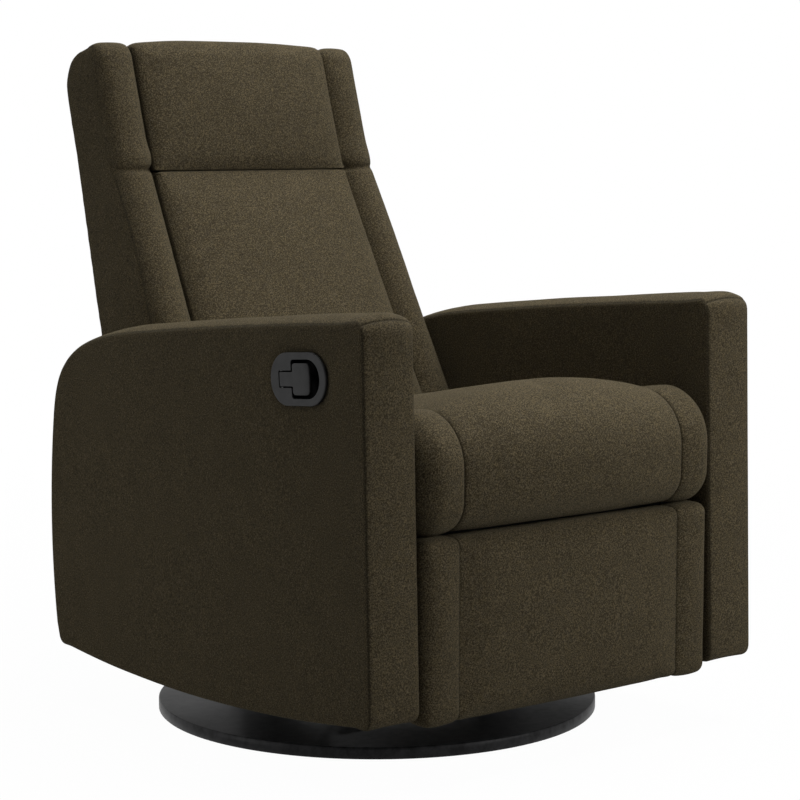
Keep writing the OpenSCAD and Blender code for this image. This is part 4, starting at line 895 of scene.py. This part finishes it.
wing_inset = np.concatenate([wing_setback, np.zeros(len(wing_under))])
wing_seam = drawn_ring(wing_loop, np.zeros(len(wing_loop)), 1.0, wing_inset)[:len(wing_face) - 1, 1:]


def wing_fold(places, normals):
    """The crease across a wing, level with the headrest's seam, where the upper part bulges over."""
    z = places[:, 2] - crease_z
    from_panel = np.abs(places[:, 0]) - panel_half - back_flare(places[:, 2])
    t = np.clip(from_panel / (wing_half - panel_half), 0, 1)
    in_front = np.clip(-2 * normals[:, 1], 0, 1)
    crease = -(crease_deep - crease_fade * t) * np.exp(-(z / 0.0050) ** 2)
    bulge = (bulge_high - bulge_fade * t) * np.exp(-((z - 0.020) / 0.018) ** 2)
    return in_front * (crease + bulge)


def wing_line(places):
    """Distance from a wing's stitched lines. Above the crease its outer line is drawn flat."""
    in_from_side = np.maximum(0, wing_half - 0.004 - np.abs(places[:, 0]) + back_flare(places[:, 2]))
    from_line = np.abs(places[:, 1] - np.interp(places[:, 2], wing_seam[:, 1], wing_seam[:, 0]))
    outer = np.hypot(in_from_side, from_line)
    hidden = np.clip((places[:, 2] - crease_z + 0.01) / 0.02, 0, 1)
    return np.minimum(flared_edge(places, panel_half), outer + 0.02 * hidden)


def wing_share(x):
    """How much of a wing's puff shows at a side place."""
    return 1 - (1 - (x - panel_half) / (wing_half - panel_half) * 2) ** 2


wing_flat = wing_half - wing_edge_r
wing_rows = []
for t in (0, 0.02, 0.06, 0.12, 0.22, 0.36, 0.52, 0.68, 0.84, 1):
    x = panel_half + 0.0003 + (wing_flat - 0.0003 - panel_half) * t
    wing_rows.append((x, sunk(x - panel_half, back_channel, 0.018), wing_share(x), 0.0, 0.0))
for a in np.radians((18, 36, 52, 66, 78, 90)):
    x = wing_flat + wing_edge_r * math.sin(a)
    wing_rows.append((x, 0.0, wing_share(x), 0.0, 0.75 * (1 - math.cos(a))))
wing_rows += [(wing_half + 0.0002, 0.0, 0.0, 0.0, 0.90), (wing_half - 0.0004, 0.0, 0.0, 0.0, 1.0)]
for side, hand in hands:
    stations = [(x * side, *rest) for x, *rest in wing_rows][::side]
    wing = SewnPad("wing_cloth_" + hand, wing_face, wing_under, stations, back_flare, wing_setback)
    finish_pad(wing, ["wing_" + hand], wing_line, seed=41.0 + side, most=0.0025, fold=wing_fold, narrow=True)

# The side covers: flat sewn panels over foam, from the wings' seams to the rear edge
side_t, side_puff, side_groove, rear_edge_in, rim_points = 0.009, 0.0030, 0.0026, 0.0012, 1500
rear_line = np.array([(outer_rear_at(z) - rear_edge_in, z) for z in np.linspace(rear_top_z, wing_low_z, 40)])
side_front = wing_seam[wing_seam[:, 1] < head_top_z - 0.045]
side_top = np.concatenate([wing_seam[len(side_front) - 1:], rounded(
    rear_corner, rear_top_r - rear_edge_in, top_seam_angle - 20, 42, 7)])
side_rear = np.concatenate([rounded(rear_corner, rear_top_r - rear_edge_in, 42, -math.degrees(rear_lean), 7),
                            rear_line[1:]])
side_low = bowed(side_rear[-1], side_front[0], 20)


def shell(name, outer, inner, shape, seam):
    """A closed piece from an outer and an inner grid of places that meet round their rims."""
    rim, count = grid_rim(*shape), len(outer)
    rim_faces = [(a, b, count + b, count + a) for a, b in zip(rim, np.roll(rim, -1))]
    return cloth_mesh(name, np.vstack([outer, inner]), grid_faces(*shape) + rim_faces, seam)


def from_rim(grid):
    """How far each place of a grid lies from its rim."""
    rim = np.concatenate([grid[0], grid[:, -1], grid[-1, ::-1], grid[::-1, 0]])
    fine = part_way(rim, np.arange(rim_points) / rim_points)
    flat = grid.reshape(-1, grid.shape[-1])
    return np.min([np.linalg.norm(flat - place, axis=1) for place in fine], axis=0)


side_u = rows_between_seams(0.17, 0.010)
side_v = rows_between_seams(lengths_along(side_front)[-1], 0.010)
side_grid = filled(part_way(side_low, 1 - side_u), part_way(side_top, side_u), part_way(side_front, side_v),
                   part_way(side_rear, 1 - side_v), side_u, side_v)
near = from_rim(side_grid)
flat = side_grid.reshape(-1, 2)
to_front = np.abs(flat[:, 0] - np.interp(flat[:, 1], wing_seam[:, 1], wing_seam[:, 0]))
plain = np.clip((flat[:, 1] - crease_z + 0.02) / 0.03, 0, 1) * np.exp(-to_front / 0.02)
side_seam = np.concatenate([stitch_near(near) * (1 - plain), near * 0])
for side, hand in hands:
    depth = -seam_sink * rolled(near, 1.0) * (1 - plain)
    depth -= side_groove * np.exp(-to_front / 0.004) * (1 - plain)
    depth += side_puff * (1 - np.exp(-near / 0.030))
    depth += 0.0008 * ripple(np.column_stack([flat, flat[:, 0] * 0 + side]), 0.10, 61 + side)
    depth += pucker_height * np.exp(-near / pucker_reach) * ripple(
        np.column_stack([flat, flat[:, 0] * 0]), 0.012, 3)
    outer = np.column_stack([(wing_half + depth + back_flare(flat[:, 1])) * side, flat])
    inner = np.column_stack([(wing_half - side_t + back_flare(flat[:, 1])) * side, flat])
    side_cover = shell("side_cover_cloth_" + hand, outer, inner, side_grid.shape[:2], side_seam)
    narrowed(side_cover)
    dressed(side_cover, ["back_side_" + hand], "back")

# The outside back: one panel over the rear of the frame and round its top corner
rear_half, rear_channel, rear_rows = wing_half - side_t + 0.0012, 0.0022, 58


def round_rear(depth, count):
    """The rear face from its top seam, round the upper corner and down, drawn in by a depth."""
    turn = rounded(rear_corner, rear_top_r - depth, top_seam_angle, -math.degrees(rear_lean), 12)
    z = np.linspace(rear_top_z, post_low_z, count)[1:]
    return np.concatenate([turn, np.column_stack([outer_rear_at(z) - depth - (
        np.interp(z, rear_bow_z, rear_bow) if depth else 0), z])])


rear_face = round_rear(0.0, rear_rows)
row = np.arange(len(rear_face))
rear_swell = rear_puff * np.minimum(1, np.minimum(row / 8, (len(rear_face) - 1 - row) / 8)) ** 0.6
outside = SewnPad(
    "outside_back_cloth", np.column_stack([rear_face, rear_swell]), round_rear(cover_t, rear_rows),
    both_sides(across_panel(rear_half, rear_channel, roll=0.006)
               + turned_in(rear_half, rear_channel, 0.0, 0.0030)), back_flare)
finish_pad(outside, ["outside_back"],
           lambda p: np.minimum(flared_edge(p, rear_half), np.abs(p[:, 2] - post_low_z)),
           seed=71.0, most=0.004, narrow=True)

# A narrow board between the arms, covered in the same cloth, closes the rear below the back
board_low, board_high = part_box("rear_panel")
board_puff = 0.0045
board_x = np.linspace(board_low.x + 0.0004, board_high.x - 0.0004, 61)
board_z = (board_high.z - board_low.z) * rows_between_seams(board_high.z - board_low.z, 0.010) + board_low.z
x, z = (grid.ravel() for grid in np.meshgrid(board_x, board_z, indexing="ij"))
near = np.minimum(z - board_low.z, board_high.z - z)
swell = board_puff * (1 - np.exp(-near / 0.012)) - 0.0035 * (1 - np.minimum(near / 0.006, 1)) ** 2
swell += 0.0009 * ripple(np.column_stack([x, x * 0, z]), 0.07, 81)
rear_board = shell("rear_board_cloth", np.column_stack([x, board_high.y - board_puff + swell, z]),
                   np.column_stack([x, np.full(len(x), board_low.y), z]), (len(board_x), len(board_z)),
                   np.zeros(2 * len(x)))
dressed(rear_board, ["rear_panel"], "chair")


# Footrest pad
# A board with foam in front, in a sewn cover with a middle panel and a strip at each side.
pad_half, pad_seam = 0.2835, 0.217
pad_front, pad_back, pad_low_z, pad_high_z = 0.459, 0.411, 0.0915, 0.3549
pad_edge_r, pad_side_r, pad_puff, pad_channel = 0.015, 0.016, 0.007, 0.0028


def footrest_profile(start_share):
    """The pad's side profile: its rounded face with puff, and its flat back."""
    r = pad_edge_r
    lower = rounded((-pad_front + r, pad_low_z + r), r, 268, 185, 5)
    middle = bowed((-pad_front, pad_low_z + r + 0.008), (-pad_front, pad_high_z - r - 0.008), 18)
    upper = rounded((-pad_front + r, pad_high_z - r), r, 175, 92, 5)
    risen = 0.3 + 0.7 * np.sin(np.pi * np.linspace(0, 1, len(middle))) ** 0.6
    swell = np.concatenate([np.full(len(lower), 0.3), risen, np.full(len(upper), 0.3)]) * pad_puff
    face = np.column_stack([np.concatenate([lower, middle, upper]), swell * start_share])
    back = np.column_stack([np.full(len(face), -pad_back), np.linspace(pad_low_z, pad_high_z, len(face))])
    return face, back


footrest = SewnPad("footrest_cloth", *footrest_profile(full), both_sides(
    across_panel(pad_seam, pad_channel) + bolster(pad_seam, pad_half, pad_side_r, pad_channel, 0.003)))
finish_pad(footrest, ["footrest_pad"], lambda p: np.abs(np.abs(p[:, 0]) - pad_seam),
           most=0.004, seed=51.0, held=(-pad_seam, pad_seam), body="footrest")


# Pull lever
# A moulded bezel with a deep finger cup, let into the arm, and a T-shaped paddle hinged in it. Both
# are black plastic with a fine spark texture. The paddle's front edge curls in for the fingertips.
handle_y, handle_z = -0.304, 0.5765
cloth_x = -0.380
bezel_l, bezel_h, bezel_proud, bezel_rim = 0.128, 0.075, 0.004, 0.005
cup_depth, cup_wall = 0.026, 0.0025
mouth_front, mouth_back, mouth_half = 0.050, 0.015, 0.0275
slot_back, slot_half = 0.0443, 0.0121
head_front, head_back, head_half = 0.0235, 0.012, 0.0224
stem_back, stem_half, paddle_t = 0.0424, 0.0102, 0.005
hinge_ahead, hinge_depth, bush_r, bush_half = -0.042, 0.00425, 0.0021, 0.0118
handle_tilt = math.radians(4.5)
edge_round, mouth_round, paddle_round = 0.0014, 0.0005, 0.0009
curl_from, curl_reach, curl_in = 0.012, 0.015, 0.0034
# The last of these is how strongly the cloth round the bezel is darkened, as painted shade
foot_gap, cut_gap, pull_reach, pull_in, painted_rim_shade = 0.0002, 0.0006, 0.0045, 0.0028, 0.9


def stadium(length, height, steps=20):
    """A rounded slot's outline, as places ahead of its middle and above it."""
    r = height / 2
    return np.concatenate([rounded((length / 2 - r, 0), r, -90, 90, steps),
                           rounded((r - length / 2, 0), r, 90, 270, steps)])


def filleted(corners, steps=6):
    """An outline from corners that each have a rounding: (ahead, above, radius)."""
    made = []
    for k, (a, b, r) in enumerate(corners):
        here = np.array([a, b])
        back, on = (np.array(corners[k - 1][:2]) - here, np.array(corners[(k + 1) % len(corners)][:2]) - here)
        back, on = back / np.linalg.norm(back), on / np.linalg.norm(on)
        half = math.acos(np.clip(back @ on, -1, 1)) / 2
        start, end = here + back * r / math.tan(half), here + on * r / math.tan(half)
        middle = here + (back + on) / np.linalg.norm(back + on) * r / math.sin(half)
        first = math.atan2(*(start - middle)[::-1])
        turn = (math.atan2(*(end - middle)[::-1]) - first + math.pi) % (2 * math.pi) - math.pi
        made += [middle + r * np.array([math.cos(first + turn * t), math.sin(first + turn * t)])
                 for t in np.linspace(0, 1, steps + 1)]
    return np.array(made)


def drawn_loop(loop, d):
    """A closed outline of the handle drawn in by d. It runs the other way from the pads' outlines."""
    return loop + outward(loop) * d


def placed_ring(work, loop, x):
    """A ring of vertices round an outline in the plane of the handle."""
    return [work.verts.new((x, handle_y - a, handle_z + b)) for a, b in loop]


def slot_ring(work, length, height, x):
    """A ring of vertices round a rounded slot."""
    return placed_ring(work, stadium(length, height), x)


def walled(work, *rings):
    """Faces between each ring and the next, which has as many vertices."""
    for first, second in zip(rings, rings[1:]):
        for k in range(len(first)):
            work.faces.new((first[k - 1], first[k], second[k], second[k - 1]))


def flat_fill(work, *rings):
    """A flat face inside a ring, or between a ring and the holes in it."""
    pairs = [(ring[k - 1], ring[k]) for ring in rings for k in range(len(ring))]
    edges = [work.edges.get(pair) or work.edges.new(pair) for pair in pairs]
    bmesh.ops.triangle_fill(work, use_beauty=True, edges=edges)


def leaned(work):
    """Turns the handle's work up in front, so that it lies along the arm's top."""
    bmesh.ops.rotate(work, cent=(0, handle_y, handle_z), matrix=Matrix.Rotation(-handle_tilt, 3, "X"),
                     verts=work.verts)
    return work


def moulded(name, work):
    """Makes a moulding from its finished faces."""
    bmesh.ops.remove_doubles(work, verts=work.verts, dist=1e-6)
    return piece_from(name, leaned(work))


def rounded_rim(work, loop, face_x, r, steps=4):
    """Rings from a face, over its rounded rim, to the wall. Ends with the wall's ring."""
    rings = [placed_ring(work, drawn_loop(loop, r + 0.0005), face_x)]
    for a in np.linspace(0, math.pi / 2, steps + 1):
        inner = drawn_loop(loop, r * (1 - math.sin(a)))
        rings.append(placed_ring(work, inner, face_x + r * (1 - math.cos(a))))
    walled(work, *rings)
    return rings


mouth_middle = mouth_front - mouth_half
mouth = np.concatenate([
    rounded((mouth_middle, 0), mouth_half, -90, 90, 24),
    filleted([(mouth_middle, mouth_half, 0), (-mouth_back, mouth_half, 0.005),
              (-mouth_back, slot_half, 0.0016), (-slot_back, slot_half, 0.0022),
              (-slot_back, -slot_half, 0.0022), (-mouth_back, -slot_half, 0.0016),
              (-mouth_back, -mouth_half, 0.005), (mouth_middle, -mouth_half, 0)])[7:-7]])
cup_l, cup_h = bezel_l - 2 * bezel_rim, bezel_h - 2 * bezel_rim
face_x = cloth_x - bezel_proud
work = bmesh.new()
outer_rings = rounded_rim(work, stadium(bezel_l, bezel_h), face_x, edge_round)
mouth_rings = rounded_rim(work, mouth[::-1], face_x, mouth_round, 2)
flat_fill(work, outer_rings[0], mouth_rings[0])
foot = slot_ring(work, bezel_l, bezel_h, cloth_x - foot_gap)
cup_top = slot_ring(work, cup_l, cup_h, cloth_x - foot_gap)
cup_end = slot_ring(work, cup_l - 0.002, cup_h - 0.002, cloth_x + cup_depth)
walled(work, outer_rings[-1], foot, cup_top, cup_end)
flat_fill(work, cup_end)
inner_l, inner_h, inner_x = cup_l - 2 * cup_wall, cup_h - 2 * cup_wall, cloth_x + cup_depth - cup_wall
mouth_foot = placed_ring(work, mouth[::-1], cloth_x)
walled(work, mouth_rings[-1], mouth_foot)
inner_top = slot_ring(work, inner_l, inner_h, cloth_x)
inner_low = slot_ring(work, inner_l - 0.002, inner_h - 0.002, inner_x - 0.004)
inner_end = slot_ring(work, inner_l - 0.010, inner_h - 0.010, inner_x)
flat_fill(work, inner_top, mouth_foot)
walled(work, inner_top, inner_low, inner_end)
flat_fill(work, inner_end)
bezel = moulded("lever_bezel_moulding", work)

paddle_outline = filleted([
    (head_front, -head_half, 0.0055), (head_front + 0.0012, 0.0, 0.03), (head_front, head_half, 0.0055),
    (-head_back, head_half, 0.005), (-head_back, stem_half, 0.0015), (-stem_back, stem_half, 0.0018),
    (-stem_back, -stem_half, 0.0018), (-head_back, -stem_half, 0.0015), (-head_back, -head_half, 0.005)])
work = bmesh.new()
paddle_x = face_x - 0.0001
front_rings = rounded_rim(work, paddle_outline, paddle_x, paddle_round, 3)
back_ring = placed_ring(work, drawn_loop(paddle_outline, 0.0004), paddle_x + paddle_t)
walled(work, front_rings[-1], back_ring)
flat_fill(work, front_rings[0])
flat_fill(work, back_ring)
for ahead in (0.012, 0.015, 0.018, 0.0205, 0.023):
    bmesh.ops.bisect_plane(work, geom=work.verts[:] + work.edges[:] + work.faces[:],
                           plane_co=(0, handle_y - ahead, 0), plane_no=(0, 1, 0))
for vertex in work.verts:
    curl = max(0, (handle_y - vertex.co.y) - curl_from) / curl_reach
    vertex.co.x += curl_in * curl ** 2
# A short bush round the pin fills the slot's gap at the hinge
bush_x, bush_y = face_x + hinge_depth, handle_y - hinge_ahead
bush = [[work.verts.new((bush_x + r * math.cos(a), bush_y + r * math.sin(a), handle_z + b))
         for a in np.radians(np.arange(0, 360, 15))]
        for r, b in ((bush_r - 0.0005, -bush_half), (bush_r, 0.0005 - bush_half),
                     (bush_r, bush_half - 0.0005), (bush_r - 0.0005, bush_half))]
walled(work, *bush)
work.faces.new(bush[0][::-1])
work.faces.new(bush[-1])
paddle = moulded("lever_paddle_moulding", work)

# Moulded black plastic with a fine spark texture, rubbed a little grey on its edges
plastic = Finish("black moulded plastic", {"Specular IOR Level": 0.20})
smear = plastic.grain(70.0, 3.0, 0.6)
tint = plastic.mix(plastic.between(smear, 0.3, 0.7, 0.0, 0.6), (0.0075, 0.0075, 0.0075, 1),
                   (0.01125, 0.01125, 0.01125, 1))
handle_plastic = plastic.done(
    plastic.rubbed(tint, (0.045, 0.045, 0.044, 1), 0.8), plastic.between(smear, 0.3, 0.7, 0.46, 0.58),
    plastic.grain(2600.0, 2.0, 0.6), 0.35, 0.0003)
for piece, node, body in ((bezel, "lever_bezel", "chair"), (paddle, "lever_paddle", "lever")):
    piece.data.materials.append(handle_plastic)
    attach(piece, body)
    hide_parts(node)

# The arm's cloth is cut away where the cup goes in, and pulled under the bezel's rim
work = bmesh.new()
cut_out = slot_ring(work, cup_l + cut_gap, cup_h + cut_gap, cloth_x - 0.010)
cut_in = slot_ring(work, cup_l + cut_gap, cup_h + cut_gap, cloth_x + cup_depth + 0.001)
walled(work, cut_out, cut_in)
flat_fill(work, cut_out)
flat_fill(work, cut_in)
cutter = piece_from("cup_cutter", leaned(work), smooth=False)
left_cover = bpy.data.objects["arm_cover_cloth_left"]
cut = left_cover.modifiers.new("cup_hole", "BOOLEAN")
cut.object = cutter
cut.solver = "EXACT"
opened = bpy.data.meshes.new_from_object(evaluated(left_cover))
left_cover.modifiers.remove(cut)
left_cover.data = opened
bpy.data.objects.remove(cutter)
# Under the rim the cloth is pulled in, and its colour is darkened there: painted shade from the bezel
around = places_of(opened)
ahead, above = handle_y - around[:, 1], around[:, 2] - handle_z
ahead, above = (ahead * math.cos(handle_tilt) + above * math.sin(handle_tilt),
                above * math.cos(handle_tilt) - ahead * math.sin(handle_tilt))
beyond = np.hypot(np.maximum(np.abs(ahead) - (cup_l - cup_h) / 2, 0), above) - cup_h / 2
outside_face = around[:, 0] < cloth_x + 0.004
pulled = np.where(outside_face, np.exp(-np.maximum(beyond - bezel_rim, 0) / pull_reach), 0)
around[:, 0] += pull_in * pulled
opened.vertices.foreach_set("co", around.ravel())
shade = np.zeros(len(around), np.float32)
opened.attributes["seam"].data.foreach_get("value", shade)
opened.attributes["seam"].data.foreach_set("value", np.maximum(shade, painted_rim_shade * pulled))


# Floor disc and the frame inside
# The disc is board with a satin black lacquer. Above it lie the swivel, glider and recline irons,
# some zinc plated and some powder coated, and the arms and seat are plywood, hardboard and webbing.
def lacquer(name):
    """Satin black lacquer with faint dust and a few fine scratches."""
    made = Finish(name, {
        "Specular IOR Level": 0.09, "Coat Weight": 0.01, "Coat Roughness": 0.20, "Coat IOR": 1.45})
    dust = made.grain(9.0, 5.0, 0.65)
    relief = made.plus(made.grain(900.0), made.times(made.streaks((6.0, 130.0, 6.0), 4.0), 0.2))
    tint = made.mix(made.between(dust, 0.45, 0.80, 0.0, 0.35), (0.0045, 0.0045, 0.0046, 1),
                    (0.010, 0.010, 0.010, 1))
    return made.done(made.rubbed(tint, (0.055, 0.055, 0.057, 1), 0.8),
                     made.between(dust, 0.3, 0.8, 0.37, 0.43), relief, 0.05, 0.0001)


def powder_coat(name):
    """Black powder coat: a fine orange peel, rubbed to bare steel on its corners."""
    made = Finish(name, {"Specular IOR Level": 0.5})
    peel = made.grain(620.0)
    dust = made.grain(30.0, 4.0, 0.6)
    tint = made.mix(made.between(dust, 0.40, 0.9, 0.0, 0.4), (0.018, 0.018, 0.019, 1),
                    (0.050, 0.048, 0.044, 1))
    return made.done(made.rubbed(tint, (0.25, 0.25, 0.26, 1), 0.6), made.between(peel, 0.3, 0.7, 0.34, 0.50),
                     peel, 0.25, 0.0004)


def zinc_plate(name):
    """Bright zinc with a cloudy passivated tint and fine drawn lines."""
    made = Finish(name, {"Metallic": 1.0})
    cloud = made.grain(85.0, 4.0, 0.65)
    tint = made.mix(made.between(cloud, 0.35, 0.65), (0.50, 0.52, 0.55, 1), (0.62, 0.60, 0.52, 1))
    return made.done(made.rubbed(tint, (0.75, 0.75, 0.76, 1), 0.5), made.between(cloud, 0.3, 0.7, 0.26, 0.44),
                     made.streaks((30.0, 900.0, 900.0), 1.0), 0.12, 0.0001)


def raw_wood(name, pale, deep, stretch, scale):
    """Bare board: long fibres, darker growth lines and a few pores."""
    made = Finish(name, {"Specular IOR Level": 0.25})
    fibre = made.streaks(stretch, scale)
    figure = made.streaks(tuple(0.25 * c for c in stretch), scale)
    pores = made.between(made.grain(750.0, 1.0), 0.62, 0.70)
    lines = made.plus(made.times(fibre, 0.45), made.times(figure, 0.55))
    tint = made.mix(made.between(lines, 0.38, 0.62), pale, deep)
    tint = made.mix(made.times(pores, 0.35), tint, deep)
    return made.done(made.rubbed(tint, pale, 0.4), made.between(lines, 0.3, 0.7, 0.62, 0.80),
                     lines, 0.30, 0.0005)


def elastic_webbing(name):
    """Woven elastic straps: thick cross yarns over rubber, with paler picks in the dips."""
    made = Finish(name, {"Specular IOR Level": 0.2, "Sheen Weight": 0.15})
    split = made.add("SeparateXYZ", {0: made.place}).outputs
    warp = made.math("SINE", made.times(split[0], 2600.0))
    weft = made.math("SINE", made.times(made.plus(split[1], split[2]), 2100.0))
    weave = made.times(warp, weft)
    lint = made.grain(160.0, 3.0, 0.7)
    tint = made.mix(made.between(weave, -1.0, 1.0), (0.014, 0.014, 0.015, 1), (0.045, 0.044, 0.042, 1))
    tint = made.mix(made.between(lint, 0.60, 0.85, 0.0, 0.5), tint, (0.12, 0.11, 0.10, 1))
    return made.done(tint, made.between(weave, -1.0, 1.0, 0.75, 0.92), weave, 0.5, 0.0004)


frame_finish = {
    "black_disc": lacquer("satin black lacquer"),
    "dark_steel": powder_coat("black powder coat"),
    "zinc_steel": zinc_plate("zinc plate"),
    "plywood": raw_wood("bare plywood", (0.62, 0.47, 0.29, 1), (0.44, 0.30, 0.16, 1),
                        (3.0, 3.0, 40.0), 5.0),
    "hardboard": raw_wood("bare hardboard", (0.31, 0.20, 0.11, 1), (0.20, 0.12, 0.065, 1),
                          (30.0, 30.0, 30.0), 9.0),
    "webbing": elastic_webbing("elastic webbing")}
# The rails behind the gap between seat and footrest are coloured near black, as painted shade in that gap, so
# that they don't show
rail_in_painted_shade = raw_wood("plywood in painted shade", (0.016, 0.015, 0.013, 1), (0.009, 0.008, 0.007, 1),
                        (40.0, 3.0, 3.0), 5.0)
# Edges that a press or a router leaves a little round, as a width for each kind of piece
edge_width = {"black_disc": 0.0008, "dark_steel": 0.0006, "plywood": 0.0010, "hardboard": 0.0006}
for part in frame["record"]["subparts"]:
    node, slot = part["node"], part["material_slot"]
    if slot not in frame_finish:
        continue
    shown = frame["nodes"][node]
    shown.data.materials.clear()
    shown.data.materials.append(
        rail_in_painted_shade if node in ("seat_front_rail", "seat_side_rails") else frame_finish[slot])
    if slot in edge_width:
        weld = shown.modifiers.new("joined", "WELD")
        weld.merge_threshold = 0.00002
        eased = shown.modifiers.new("eased_edges", "BEVEL")
        eased.width = edge_width[slot]
        eased.segments = 2
        eased.limit_method = "ANGLE"
        eased.angle_limit = math.radians(50)
        eased.harden_normals = True
